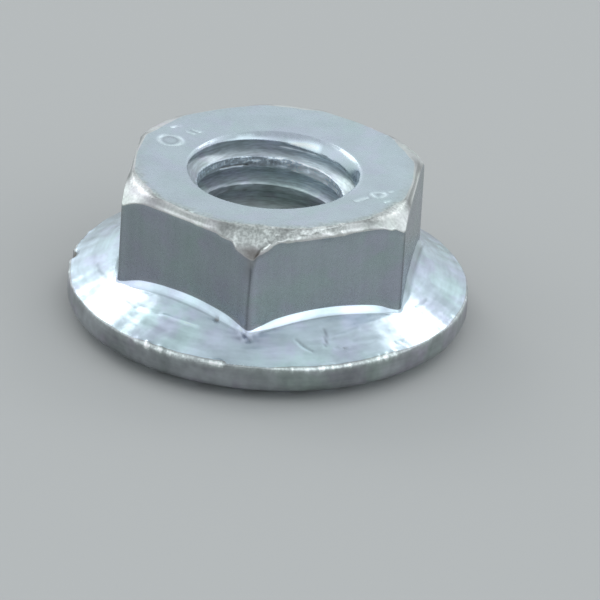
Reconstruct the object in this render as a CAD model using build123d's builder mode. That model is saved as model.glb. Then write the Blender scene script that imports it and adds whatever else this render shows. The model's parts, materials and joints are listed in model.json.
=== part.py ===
from build123d import *
import math
import os

# Serrated flange nut, M6 coarse thread.
# Millimetres, +Z up.  The origin is the centre of the bearing face, on the
# plane of the serration crests, so the nut stands on Z = 0.  Two of the
# hexagon's flats face +X and -X, and one of its corners faces -Y.

# ---------------------------------------------------------------- driving dimensions
across_flats = 10.0            # wrench size
flange_diameter = 14.1
nut_height = 5.7               # crest plane to top face
thread_minor_diameter = 4.98   # wall of the bore, thread tops
mouth_diameter = 6.22          # outer edge of both countersinks
countersink_slope = 30.0       # degrees from the face plane

hexagon_corner_radius = 0.3    # rounding of the six upright edges
top_circle_diameter = 9.84     # flat part of the top face
corner_chamfer_slope = 33.0    # degrees from the top face plane
flange_fillet = 0.3            # between the flats and the flange

rim_top_height = 1.34          # upper edge of the rim
flange_slope = 28.0            # degrees, upper side of the flange
rim_top_rounding = 0.08
rim_bottom_rounding = 0.15

rim_overhang = 0.9             # rim beyond the outer end of the serration crests
serration_step = 0.2           # crest plane to the relieved underside
relief_slope = 21.0            # degrees, underside between serrations and rim
serration_count = 24
serration_depth = 0.27         # at the outer end of the crests
crest_land_share = 0.2         # part of each pitch left flat on the crest

cutter_margin = 1.0            # how far a cutting shape runs past what it cuts

# ---------------------------------------------------------------- derived dimensions
rim_radius = flange_diameter / 2
bearing_radius = rim_radius - rim_overhang
bore_radius = thread_minor_diameter / 2
mouth_radius = mouth_diameter / 2
top_circle_radius = top_circle_diameter / 2
corner_radius = across_flats / 2 / math.cos(math.radians(30))

countersink_depth = (mouth_radius - bore_radius) * math.tan(math.radians(countersink_slope))
core_radius = (bore_radius + top_circle_radius) / 2
core_height = rim_top_height + (rim_radius - core_radius) * math.tan(math.radians(flange_slope))
step_radius = bearing_radius + serration_step
rim_bottom_height = serration_step + (rim_radius - step_radius) * math.tan(math.radians(relief_slope))

serration_pitch = 360 / serration_count
groove_angle = serration_pitch * (1 - crest_land_share)
groove_reach = rim_radius
groove_rise = serration_depth / bearing_radius * groove_reach
groove_run = groove_reach * math.tan(math.radians(groove_angle))

chamfer_reach = corner_radius + cutter_margin
chamfer_drop = (chamfer_reach - top_circle_radius) * math.tan(math.radians(corner_chamfer_slope))

# ---------------------------------------------------------------- serration groove
# One wedge, with its point at the origin.  Its upright flank bites when the nut
# is turned back, and its ramp slides when the nut is tightened.
with BuildPart() as groove:
    with BuildSketch(Plane.YZ.offset(groove_reach)):
        with BuildLine():
            Polyline((0, 0), (groove_run, 0), (0, groove_rise), close=True)
        make_face()
    loft(sections=[groove.pending_faces[0], Vertex(0, 0, 0)])

# ---------------------------------------------------------------- flange nut
with BuildPart() as flange_nut:
    # Flange: serration ring, relieved underside, rim and sloped upper side.
    with BuildSketch(Plane.XZ) as flange_profile:
        with BuildLine():
            Polyline(
                (0, 0),
                (bearing_radius, 0),
                (step_radius, serration_step),
                (rim_radius, rim_bottom_height),
                (rim_radius, rim_top_height),
                (core_radius, core_height),
                (0, core_height),
                close=True,
            )
        make_face()
        rim_top_corner = flange_profile.vertices().group_by(Axis.X)[-1].sort_by(Axis.Y)[-1]
        fillet(rim_top_corner, radius=rim_top_rounding)
        rim_bottom_corner = flange_profile.vertices().group_by(Axis.X)[-1].sort_by(Axis.Y)[0]
        fillet(rim_bottom_corner, radius=rim_bottom_rounding)
    revolve(axis=Axis.Z)

    # Wrench hexagon, with rounded upright edges.
    with BuildSketch(Plane.XY.offset(rim_top_height)) as hexagon:
        RegularPolygon(radius=across_flats / 2, side_count=6, major_radius=False, rotation=30)
        fillet(hexagon.vertices(), radius=hexagon_corner_radius)
    extrude(amount=nut_height - rim_top_height)

    # Fillet where the flats meet the flange.
    joint_edges = (
        flange_nut.edges(Select.NEW)
        .filter_by(GeomType.LINE, reverse=True)
        .filter_by_position(Axis.Z, rim_top_height, core_height)
    )
    fillet(joint_edges, radius=flange_fillet)

    # Corner chamfer around the top face.
    with BuildSketch(Plane.XZ) as chamfer_profile:
        with BuildLine():
            Polyline(
                (top_circle_radius, nut_height),
                (chamfer_reach, nut_height - chamfer_drop),
                (chamfer_reach, nut_height + cutter_margin),
                (top_circle_radius, nut_height + cutter_margin),
                close=True,
            )
        make_face()
    revolve(axis=Axis.Z, mode=Mode.SUBTRACT)

    # Threaded bore at the thread's minor diameter, countersunk at both ends.
    with BuildSketch(Plane.XZ) as bore_profile:
        with BuildLine():
            Polyline(
                (0, 0),
                (mouth_radius, 0),
                (bore_radius, countersink_depth),
                (bore_radius, nut_height - countersink_depth),
                (mouth_radius, nut_height),
                (0, nut_height),
                close=True,
            )
        make_face()
    revolve(axis=Axis.Z, mode=Mode.SUBTRACT)

    # Ratchet serrations.
    with PolarLocations(0, serration_count):
        add(groove.part, mode=Mode.SUBTRACT)

# ---------------------------------------------------------------- export
flange_nut.part.label = "flange_nut"
os.makedirs("parts", exist_ok=True)
export_step(flange_nut.part, "parts/flange_nut.step")
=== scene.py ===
"""Looks of a serrated flange nut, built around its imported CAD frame.

The nut is one forged piece, so its skin is one closed mesh: top face, wrench hexagon,
sloped flange, rim, serrated bearing face and threaded bore. Shapes are worked out in
millimetres and become metres when the mesh is handed to Blender.
"""

from __future__ import annotations

import json
import logging
import math
from dataclasses import dataclass
from enum import Enum
from typing import NamedTuple

import bmesh
import bpy
from mathutils import Matrix, Vector, noise

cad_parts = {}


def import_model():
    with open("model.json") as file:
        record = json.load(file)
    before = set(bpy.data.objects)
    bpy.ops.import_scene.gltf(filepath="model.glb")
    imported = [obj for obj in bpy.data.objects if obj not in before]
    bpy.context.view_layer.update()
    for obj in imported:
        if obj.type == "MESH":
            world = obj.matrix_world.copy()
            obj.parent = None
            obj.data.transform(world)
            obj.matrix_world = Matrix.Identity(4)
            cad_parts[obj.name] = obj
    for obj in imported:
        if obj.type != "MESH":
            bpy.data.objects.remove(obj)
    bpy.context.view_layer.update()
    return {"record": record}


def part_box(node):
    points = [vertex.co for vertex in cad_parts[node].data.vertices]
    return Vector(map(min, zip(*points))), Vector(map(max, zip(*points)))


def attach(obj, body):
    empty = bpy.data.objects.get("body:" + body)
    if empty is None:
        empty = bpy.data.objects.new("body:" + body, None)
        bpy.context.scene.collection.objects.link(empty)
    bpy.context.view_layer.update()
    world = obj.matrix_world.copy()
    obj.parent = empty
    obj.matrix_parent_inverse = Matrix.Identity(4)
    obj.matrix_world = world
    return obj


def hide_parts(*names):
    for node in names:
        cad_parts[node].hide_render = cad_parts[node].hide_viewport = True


LOG = logging.getLogger("flange_nut")

MM = 0.001
TURN = 2.0 * math.pi
HEX_SIDES = 6
AXIS = {"cent": (0.0, 0.0, 0.0), "axis": (0.0, 0.0, 1.0)}

Colour = tuple[float, float, float]
Span = tuple[float, float]


# ---------------------------------------------------------------- small helpers
def mix(low: float, high: float, share: float) -> float:
    """Return the value a share of the way from low to high."""
    return low + (high - low) * share


def ease(low: float, high: float, value: float) -> float:
    """Return 0 below low, 1 above high and a smooth step between them."""
    share = min(1.0, max(0.0, (value - low) / (high - low)))
    return share * share * (3.0 - 2.0 * share)


def bell(distance: float, width: float) -> float:
    """Return 1 at no distance, falling to nothing over about twice the width."""
    return math.exp(-((distance / width) ** 2))


def soft_max(first: float, second: float, reach: float) -> float:
    """Return the larger value, with the corner between the two rounded.

    Args:
        first: One value.
        second: The other value.
        reach: Difference at which the rounding ends.

    Returns:
        The larger value, lifted a little where both are nearly equal.
    """
    overlap = max(0.0, reach - abs(first - second))
    return max(first, second) + overlap * overlap / (4.0 * reach)


def turned(angle: float) -> float:
    """Return an angle brought between minus and plus half a turn."""
    return (angle + math.pi) % TURN - math.pi


def around(radius: float, angle: float, height: float) -> Vector:
    """Return the point at a radius, an angle in radians and a height."""
    return Vector((radius * math.cos(angle), radius * math.sin(angle), height))


@dataclass(frozen=True)
class Wave:
    """Slow unevenness around the nut, as forging leaves it.

    Attributes:
        size: Largest swing to either side, in millimetres.
        bumps: Rough number of swings in one turn.
        seed: Picks one wave out of many.
    """

    size: float
    bumps: float
    seed: float

    def at(self, angle: float) -> float:
        """Return the swing at an angle in radians."""
        spot = around(self.bumps / TURN, angle, self.seed)
        return self.size * noise.noise(spot)


@dataclass(frozen=True)
class Grain:
    """Unevenness of a surface in all directions.

    Attributes:
        per_mm: Features in one millimetre.
        seed: Picks one pattern out of many.
    """

    per_mm: float
    seed: float

    def at(self, point: Vector) -> float:
        """Return a value between about minus and plus 1 at a point."""
        return noise.noise(point * self.per_mm + Vector((self.seed, -self.seed, self.seed)))


# ---------------------------------------------------------------- sizes
@dataclass(frozen=True)
class NutSizes:
    """Driving sizes of the nut, in millimetres and degrees."""

    rim_radius: float
    height: float
    bore_radius: float
    across_flats: float = 10.0
    hexagon_corner: float = 0.25
    first_corner: float = -90.0
    top_circle: float = 4.92
    chamfer_slope: float = 33.0
    top_dish: float = 0.1
    circle_growth: float = 0.18
    circle_span: Span = (0.0, 0.3)
    corner_span: Span = (0.0, 0.6)
    rolled_drop: float = 0.28
    rolled_rounding: float = 0.05
    tip_drop: float = 0.12
    foot_rise: float = 0.17
    foot_run: float = 0.17
    rim_top: float = 1.34
    flange_slope: float = 28.0
    rim_overhang: float = 0.9
    serration_step: float = 0.2
    relief_slope: float = 21.0
    serrations: int = 24
    serration_depth: float = 0.27
    crest_share: float = 0.2
    mouth_radius: float = 3.14
    mouth_slope: float = 12.0
    mouth_curve: float = 1.15
    mouth_lip: float = 0.03
    pitch: float = 1.0
    thread_radius: float = 3.05

    @classmethod
    def from_frame(cls, record: dict) -> NutSizes:
        """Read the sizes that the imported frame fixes.

        Args:
            record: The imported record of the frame.

        Returns:
            The sizes, with every other value at its default.
        """
        low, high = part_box("flange_nut")
        thread = next(mount for mount in record["mounts"] if mount["name"] == "thread")
        return cls(
            rim_radius=(high.x - low.x) / 2 / MM,
            height=(high.z - low.z) / MM,
            bore_radius=thread["dims"]["r_mm"],
        )

    @property
    def bearing_radius(self) -> float:
        """Outer end of the serration crests."""
        return self.rim_radius - self.rim_overhang

    @property
    def step_radius(self) -> float:
        """Radius at which the relieved underside starts."""
        return self.bearing_radius + self.serration_step

    @property
    def rim_bottom(self) -> float:
        """Height of the rim's lower edge."""
        run = self.rim_radius - self.step_radius
        return self.serration_step + run * math.tan(math.radians(self.relief_slope))

    @property
    def mouth_height(self) -> float:
        """Height of the bore's upper mouth, at the bottom of the dished top face."""
        return self.height - self.top_dish

    def from_corner(self, angle: float) -> float:
        """Return how far an angle is from the nearest hexagon corner, in radians."""
        from_first = angle - math.radians(self.first_corner)
        return abs(turned(from_first * HEX_SIDES)) / HEX_SIDES

    def flat_heading(self, angle: float) -> float:
        """Return the direction that the flat at an angle faces, in radians."""
        first = math.radians(self.first_corner)
        return first + (math.floor((angle - first) * HEX_SIDES / TURN) + 0.5) * TURN / HEX_SIDES

    def hexagon(self, angle: float) -> float:
        """Return the hexagon's radius at an angle, with its corners rounded.

        Args:
            angle: Angle about the thread axis, in radians.

        Returns:
            Distance from the axis to the wrench flats.
        """
        half_side = TURN / HEX_SIDES / 2
        from_corner = self.from_corner(angle)
        centre = (self.across_flats / 2 - self.hexagon_corner) / math.cos(half_side)
        tangent_x = centre + self.hexagon_corner * math.cos(half_side)
        tangent_y = self.hexagon_corner * math.sin(half_side)
        if from_corner > math.atan2(tangent_y, tangent_x):
            return self.across_flats / 2 / math.cos(half_side - from_corner)
        off_axis = centre * math.sin(from_corner)
        return centre * math.cos(from_corner) + math.sqrt(self.hexagon_corner**2 - off_axis**2)

    def cornering(self, angle: float, start: float, end: float) -> float:
        """Return 0 on a flat's middle and 1 at a corner.

        Args:
            angle: Angle about the thread axis, in radians.
            start: Millimetres beyond the flat's own distance at which the rise starts.
            end: Millimetres at which it ends.

        Returns:
            Share from 0 to 1.
        """
        return ease(start, end, self.hexagon(angle) - self.across_flats / 2)

    def chamfer_circle(self, angle: float) -> float:
        """Return the radius at which the chamfers start, smallest at the front corner.

        Args:
            angle: Angle about the axis, in radians.

        Returns:
            Radius in millimetres.
        """
        front = bell(turned(angle - math.radians(self.first_corner)), TURN / HEX_SIDES / 2)
        growth = self.circle_growth * (1.0 - front) * self.cornering(angle, *self.circle_span)
        return self.top_circle + growth

    def edge_drop(self, angle: float) -> float:
        """Return how far below the top face the flats end, rolled over where no chamfer cuts them."""
        chamfer = (self.hexagon(angle) - self.top_circle) * math.tan(math.radians(self.chamfer_slope))
        return soft_max(chamfer, self.rolled_drop, self.rolled_rounding)

    def cone(self, radius: float) -> float:
        """Return the height of the flange's upper side at a radius."""
        return self.rim_top + (self.rim_radius - radius) * math.tan(math.radians(self.flange_slope))

    def countersink(self, depth: float) -> float:
        """Return the countersink's radius at a depth below its mouth.

        Its wall leaves the face at a low slope and steepens inward.

        Args:
            depth: Millimetres below the face.

        Returns:
            Radius in millimetres.
        """
        start = math.tan(math.radians(self.mouth_slope))
        root = math.sqrt(start * start + 4.0 * self.mouth_curve * max(0.0, depth))
        return self.mouth_radius - (root - start) / (2.0 * self.mouth_curve)


# ---------------------------------------------------------------- sections
class Zone(Enum):
    """Stretches of the nut's skin; each value is a material slot."""

    TOP = 0
    CHAMFER = 1
    FLATS = 2
    FLANGE = 3
    RIM = 4
    UNDERSIDE = 5
    BORE = 6


class Bend(NamedTuple):
    """A bend of the section and the straight leg after it, as spaces and zones."""

    curve_steps: int
    curve_zone: Zone
    leg_steps: int
    leg_zone: Zone


class Place(NamedTuple):
    """Where a bend lies: radius, height and the length its curve takes from each leg."""

    radius: float
    height: float
    rounding: float = 0.0


class Station(NamedTuple):
    """One point of the section: its bend, whether it is on the curve, and its share."""

    bend: int
    on_curve: bool
    share: float
    zone: Zone


LONGEST_CURVE = 0.45


def stations_of(bends: tuple[Bend, ...]) -> list[Station]:
    """List the stations of a section in order.

    Args:
        bends: The section's bends; the first and the last have no curve.

    Returns:
        One station for each ring of the mesh. A station's zone is that of the space
        that leads to it.
    """
    stations = [Station(0, False, 0.0, bends[0].leg_zone)]
    for index, bend in enumerate(bends):
        for step in range(1, bend.curve_steps + 1):
            stations.append(Station(index, True, step / bend.curve_steps, bend.curve_zone))
        for step in range(1, bend.leg_steps + 1):
            stations.append(Station(index, False, step / bend.leg_steps, bend.leg_zone))
    return stations


def curve_ends(places: list[Place], index: int) -> tuple[Vector, Vector]:
    """Return the points where a bend's curve leaves the leg before and meets the next.

    Args:
        places: Places of the section's bends.
        index: Which bend.

    Returns:
        The curve's two ends, both at the bend itself where the section starts or ends.
    """
    here = Vector(places[index][:2])
    if index in (0, len(places) - 1):
        return here, here
    back = Vector(places[index - 1][:2]) - here
    ahead = Vector(places[index + 1][:2]) - here
    cut = min(places[index].rounding, LONGEST_CURVE * back.length, LONGEST_CURVE * ahead.length)
    return here + back.normalized() * cut, here + ahead.normalized() * cut


def section_point(places: list[Place], station: Station) -> Vector:
    """Return a station's radius and height on a section.

    Args:
        places: Places of the section's bends.
        station: The station.

    Returns:
        Radius and height as a 2-D vector.
    """
    entering, leaving = curve_ends(places, station.bend)
    if station.on_curve:
        here = Vector(places[station.bend][:2])
        first = entering.lerp(here, station.share)
        return first.lerp(here.lerp(leaving, station.share), station.share)
    if station.share == 0.0:
        return leaving
    return leaving.lerp(curve_ends(places, station.bend + 1)[0], station.share)


# ---------------------------------------------------------------- serrations
@dataclass(frozen=True)
class Serrations:
    """Ratchet teeth of the bearing face and the mesh columns that follow them."""

    sizes: NutSizes
    ramp_columns: int = 15
    crest_columns: int = 4
    flank_width: float = 0.2

    @property
    def columns_per_tooth(self) -> int:
        """Mesh columns from one tooth to the next, with one for the upright flank."""
        return 1 + self.ramp_columns + self.crest_columns

    @property
    def pitch(self) -> float:
        """Angle from one tooth to the next, in radians."""
        return TURN / self.sizes.serrations

    @property
    def ramp(self) -> float:
        """Angle of one groove's ramp, in radians."""
        return self.pitch * (1.0 - self.sizes.crest_share)

    def column_phase(self, column: int) -> float:
        """Return a column's angle within its tooth, so that columns lie on its edges.

        Args:
            column: Column number, counted from an upright flank.

        Returns:
            Angle from the tooth's upright flank, in radians.
        """
        step = column % self.columns_per_tooth
        flank = math.radians(self.flank_width)
        if step == 0:
            return 0.0
        if step <= self.ramp_columns + 1:
            return mix(flank, self.ramp, (step - 1) / self.ramp_columns)
        return mix(self.ramp, self.pitch, (step - 1 - self.ramp_columns) / self.crest_columns)

    def height(self, radius: float, angle: float) -> float:
        """Return the height of the grooves' ceiling above the crests.

        Each groove's ceiling is a plane through the nut's centre. It falls from the
        upright flank of one tooth to the crest of the next.

        Args:
            radius: Distance from the axis.
            angle: Angle about the axis, in radians.

        Returns:
            Height in millimetres, 0 on a crest.
        """
        phase = angle % self.pitch
        tiny = math.radians(self.flank_width) / 2
        if phase < tiny or phase > self.ramp:
            return 0.0
        rise = self.sizes.serration_depth / self.sizes.bearing_radius * radius
        return rise * math.sin(self.ramp - phase) / math.sin(self.ramp)


# ---------------------------------------------------------------- handling marks
class Spot(NamedTuple):
    """What making and handling did to one point of the skin, and the light and shade painted on it.

    Attributes:
        lift: Millimetres outward, negative for a dent.
        shade: Lighter above 0, darker below; much of it is painted light and shade.
        wear: How far the plating is rubbed and roughened, 0 to 1.
        grime: Dirt on it, 0 to 1.
    """

    lift: float = 0.0
    shade: float = 0.0
    wear: float = 0.0
    grime: float = 0.0


MARK_TAPER = 0.7
STRETCH_TAPER = 0.6


@dataclass(frozen=True)
class Mark:
    """A line, dent or pressed sign on a face that lies across the axis.

    Attributes:
        angle: Its middle, in degrees about the axis.
        radius: Its middle's distance from the axis.
        length: Length in millimetres.
        width: Half its width in millimetres.
        turn: Degrees from the circumference to its length.
        bow: Millimetres that its ends bend outward.
        ring: Radius of a round mark in millimetres, 0 for a straight one.
        lift: Height of its middle, negative for a dent.
        shade: Lighter above 0, darker below.
        wear: How rough its ground is, 0 to 1.
        grime: Dirt in it, 0 to 1.
    """

    angle: float
    radius: float
    length: float
    width: float
    turn: float = 0.0
    bow: float = 0.0
    ring: float = 0.0
    lift: float = -0.02
    shade: float = 0.0
    wear: float = 0.0
    grime: float = 0.0

    def strength(self, angle: float, radius: float) -> float:
        """Return how strongly the mark is felt at a point.

        Args:
            angle: Angle about the axis, in radians.
            radius: Distance from the axis in millimetres.

        Returns:
            Share from 0 to 1.
        """
        east = turned(angle - math.radians(self.angle)) * self.radius
        north = radius - self.radius
        reach = self.length + self.ring
        if abs(east) > reach or abs(north) > reach:
            return 0.0
        if self.ring:
            return bell(math.hypot(east, north) - self.ring, self.width)
        turn = math.radians(self.turn)
        along = (east * math.cos(turn) + north * math.sin(turn)) / (self.length / 2)
        across = north * math.cos(turn) - east * math.sin(turn) - self.bow * along * along
        return bell(across, self.width) * (1.0 - ease(MARK_TAPER, 1.0, abs(along)))


@dataclass(frozen=True)
class Burr:
    """A stretch of an edge where the metal stands proud, dips or catches the light.

    Attributes:
        start: Where it starts, in degrees about the axis.
        end: Where it ends.
        strength: How strongly it does so.
    """

    start: float
    end: float
    strength: float

    def at(self, angle: float) -> float:
        """Return its strength at an angle in radians.

        Args:
            angle: Angle about the axis, in radians.

        Returns:
            The strength, 0 outside the stretch.
        """
        middle, half = (self.start + self.end) / 2, (self.end - self.start) / 2
        off = abs(math.degrees(turned(angle - math.radians(middle))))
        return self.strength * (1.0 - ease(STRETCH_TAPER, 1.0, off / half))


# Lines, dents and specks of the flange: their shade paints dents darker and raised lips lighter, as painted
# shade and painted highlight; the specks' grime is dirt.
FLANGE_MARKS = (
    Mark(-137.5, 6.01, 1.5, 0.06, turn=3.0, lift=-0.01, shade=-0.34),
    Mark(-136.5, 6.13, 1.4, 0.07, turn=3.0, lift=0.006, shade=0.1),
    Mark(-130.0, 5.89, 2.0, 0.06, turn=-5.5, bow=-0.02, lift=-0.008, shade=-0.2),
    Mark(-115.0, 5.83, 1.9, 0.065, bow=0.03, lift=0.015, shade=0.34),
    Mark(-126.0, 6.0, 1.4, 0.08, turn=-6.0, lift=0.01, shade=0.16),
    Mark(-124.5, 5.52, 1.9, 0.15, turn=6.0, lift=0.0, shade=-0.12),
    Mark(-121.0, 6.35, 1.3, 0.08, turn=-3.0, lift=-0.01, shade=-0.1),
    Mark(-128.0, 6.5, 1.1, 0.08, turn=5.0, lift=0.01, shade=0.1),
    Mark(-162.0, 6.05, 1.5, 0.055, turn=-4.0, bow=-0.06, lift=-0.008, shade=-0.26),
    Mark(-71.2, 6.19, 0.86, 0.055, turn=42.0, bow=-0.06, lift=-0.02, shade=-0.4),
    Mark(-72.0, 6.23, 0.8, 0.055, turn=42.0, bow=-0.06, lift=0.015, shade=0.22),
    Mark(-63.0, 5.93, 0.8, 0.055, turn=102.0, bow=0.06, lift=-0.02, shade=-0.42),
    Mark(-62.3, 5.95, 0.7, 0.055, turn=102.0, bow=0.06, lift=0.01, shade=0.14),
    Mark(-55.0, 5.9, 1.3, 0.1, turn=-8.0, lift=0.01, shade=0.1),
    Mark(-50.0, 6.25, 1.2, 0.08, turn=4.0, lift=-0.01, shade=-0.12),
    Mark(-18.2, 5.95, 1.05, 0.05, turn=4.0, bow=-0.03, lift=-0.008, shade=-0.3),
    Mark(-102.1, 5.46, 0.17, 0.06, lift=-0.02, shade=-0.15, grime=0.6),
    Mark(-58.1, 6.41, 0.15, 0.05, turn=40.0, lift=-0.015, shade=-0.3, grime=0.2),
    Mark(-60.5, 6.36, 0.2, 0.05, lift=-0.015, shade=-0.18),
    Mark(-41.2, 6.67, 0.24, 0.06, lift=-0.006, shade=-0.16),
    Mark(-38.8, 6.68, 0.2, 0.06, turn=50.0, lift=-0.006, shade=-0.2),
    Mark(-37.6, 6.89, 0.3, 0.06, turn=70.0, lift=-0.006, shade=-0.12),
    Mark(-42.6, 6.86, 0.24, 0.06, turn=-30.0, lift=-0.004, shade=-0.12),
)
# Pressed signs: the strokes are painted lighter as a painted highlight, and the shadow marks beside them are
# painted shadow.
STAMP = {"lift": -0.045, "shade": 0.45, "wear": 0.35}
STAMP_SHADOW = {"lift": -0.01, "shade": -0.22}
TOP_MARKS = (
    Mark(160.5, 4.12, 1.3, 0.07, ring=0.4, **STAMP),
    Mark(160.5, 4.12, 1.3, 0.06, ring=0.26, **STAMP_SHADOW),
    Mark(147.5, 4.58, 0.45, 0.06, turn=15.0, **STAMP),
    Mark(146.5, 3.92, 0.4, 0.06, turn=80.0, **STAMP),
    Mark(144.5, 3.9, 0.4, 0.05, turn=80.0, **STAMP_SHADOW),
    Mark(142.5, 3.86, 0.36, 0.06, turn=80.0, **STAMP),
    Mark(-27.5, 3.68, 0.66, 0.1, turn=18.0, **STAMP),
    Mark(-25.5, 3.82, 0.5, 0.07, turn=18.0, **STAMP_SHADOW),
    Mark(-18.0, 4.0, 1.2, 0.07, ring=0.22, **STAMP),
    Mark(-18.0, 4.0, 0.1, 0.08, **STAMP_SHADOW),
    Mark(-12.6, 4.3, 0.16, 0.07, **STAMP),
    Mark(-23.0, 4.52, 0.3, 0.07, **STAMP),
    Mark(-119.7, 4.8, 0.2, 0.07, lift=-0.03, shade=0.45, wear=0.8),
    Mark(-121.6, 4.82, 0.12, 0.06, lift=-0.03, grime=0.7),
)
# Painted highlights on the upper countersink: a bright patch by the lip and two light streaks.
SINK_HIGHLIGHTS = (
    Mark(75.0, 2.79, 1.5, 0.1, turn=-3.0, bow=-0.05, shade=0.8),
    Mark(118.0, 2.97, 0.75, 0.05, shade=0.45),
    Mark(128.0, 3.17, 1.5, 0.06, shade=0.6),
)
RIM_BURRS = (
    Burr(-126.0, -94.0, 1.0),
    Burr(-121.0, -117.5, 0.8),
    Burr(-98.0, -94.5, 1.0),
    Burr(-84.0, -36.0, 0.8),
    Burr(150.0, 200.0, 0.5),
    Burr(-20.0, 15.0, 0.4),
    Burr(60.0, 95.0, 0.6),
)
FLAT_BURRS = (
    Burr(-88.0, -80.0, 1.3),
    Burr(-84.0, -48.0, 1.0),
    Burr(-118.0, -97.0, 0.4),
    Burr(20.0, 60.0, 0.5),
    Burr(150.0, 170.0, 0.5),
)
EDGE_DIPS = (
    Burr(-106.0, -90.5, 0.09),
    Burr(-98.5, -87.5, 0.2),
    Burr(-89.0, -82.0, 0.11),
    Burr(-35.0, -25.0, -0.1),
)
# Two beads of metal beside the front corner; their brightness is a painted highlight.
EDGE_BEADS = (
    Burr(-86.6, -85.2, 1.0),
    Burr(-84.8, -83.5, 1.1),
)
EDGE_SEAMS = (Burr(-90.0, -82.6, 1.0),)
# Stretches painted lighter or darker in place of light: painted highlights on the chamfers and the rim,
# painted light and shade on the flange.
CHAMFER_LIGHTS = (
    Burr(-162.0, -142.0, 0.2),
    Burr(-32.0, -16.0, 0.25),
)
RIM_LIGHTS = (
    Burr(-178.0, -130.0, 0.28),
    Burr(-135.0, -105.0, 0.08),
    Burr(-55.0, 5.0, 0.14),
)
FLANGE_LIGHTS = (
    Burr(165.0, 210.0, -0.03),
    Burr(-146.0, -96.0, 0.03),
)


def along(stretches: tuple[Burr, ...], angle: float) -> float:
    """Add up the strengths of stretches at an angle in radians."""
    return sum(stretch.at(angle) for stretch in stretches)


def marked(marks: tuple[Mark, ...], angle: float, radius: float) -> Spot:
    """Add up what a face's marks do at a point.

    Args:
        marks: The face's marks.
        angle: Angle about the axis, in radians.
        radius: Distance from the axis.

    Returns:
        Their lift and looks together.
    """
    lift = shade = wear = grime = 0.0
    for mark in marks:
        strength = mark.strength(angle, radius)
        lift += mark.lift * strength
        shade += mark.shade * strength
        wear += mark.wear * strength
        grime += mark.grime * strength
    return Spot(lift, shade, wear, grime)


@dataclass(frozen=True)
class Wear:
    """Unevenness that forging, plating and handling leave on every stretch of the skin, and the light and
    shade painted on it.
    """

    sizes: NutSizes
    forging: float = 0.009
    corner_grain: float = 0.016
    edge_wave: Wave = Wave(0.035, 22.0, 3.1)
    edge_ripple: Wave = Wave(0.02, 130.0, 5.7)
    side_waves: float = 0.25
    corner_waves: float = 0.7
    tip_reach: float = 0.3
    least_handled: float = 0.25
    front_rise: float = 0.45
    fleck_rise: float = 0.3
    fleck_fuzz: float = 0.4
    slow: Grain = Grain(0.9, 2.0)
    patch: Grain = Grain(2.4, 5.0)
    fine: Grain = Grain(5.5, 9.0)
    finer: Grain = Grain(9.0, 4.0)
    burr_flecks: Grain = Grain(4.2, 15.0)

    def spot(self, point: Vector, angle: float, radius: float) -> Spot:
        """Return what happened to one point of the skin.

        Args:
            point: The point on the skin.
            angle: Its angle about the axis, in radians.
            radius: Its distance from the axis.

        Returns:
            The point's lift and looks.
        """
        raise NotImplementedError

    def past_front(self, angle: float) -> float:
        """Return how far an angle is past the front corner, in radians."""
        return turned(angle - math.radians(self.sizes.first_corner))

    def handled(self, angle: float) -> float:
        """Return how much an angle's side was knocked about: most at the front."""
        return mix(self.least_handled, 1.0, ease(0.0, self.front_rise, -math.sin(angle)))

    def edge_drop(self, angle: float) -> float:
        """Return how far below the top face the uneven upper edge of the flats runs.

        Args:
            angle: Angle about the axis, in radians.

        Returns:
            Drop in millimetres.
        """
        size = self.sizes
        waves = self.side_waves + self.corner_waves * size.cornering(angle, *size.corner_span)
        drop = size.edge_drop(angle) + along(EDGE_DIPS, angle)
        drop += (self.edge_wave.at(angle) + self.edge_ripple.at(angle)) * waves
        return drop + size.tip_drop * bell(size.from_corner(angle) * size.hexagon(angle), self.tip_reach)

    def below_edge(self, angle: float, height: float) -> float:
        """Return how far a height lies below the upper edge of the flats."""
        return self.sizes.height - height - self.edge_drop(angle)

    def burred(self, angle: float, point: Vector) -> tuple[float, float]:
        """Return how burred the hexagon's upper edge is near a point.

        Args:
            angle: Angle about the axis, in radians.
            point: The point on the skin.

        Returns:
            Strength of the burred stretch and of the single fleck there, 0 to about 1.
        """
        burr = along(FLAT_BURRS, angle)
        flecks = self.burr_flecks.at(point) + self.fleck_fuzz * self.fine.at(point)
        return burr, burr * ease(0.0, self.fleck_rise, flecks)


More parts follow.
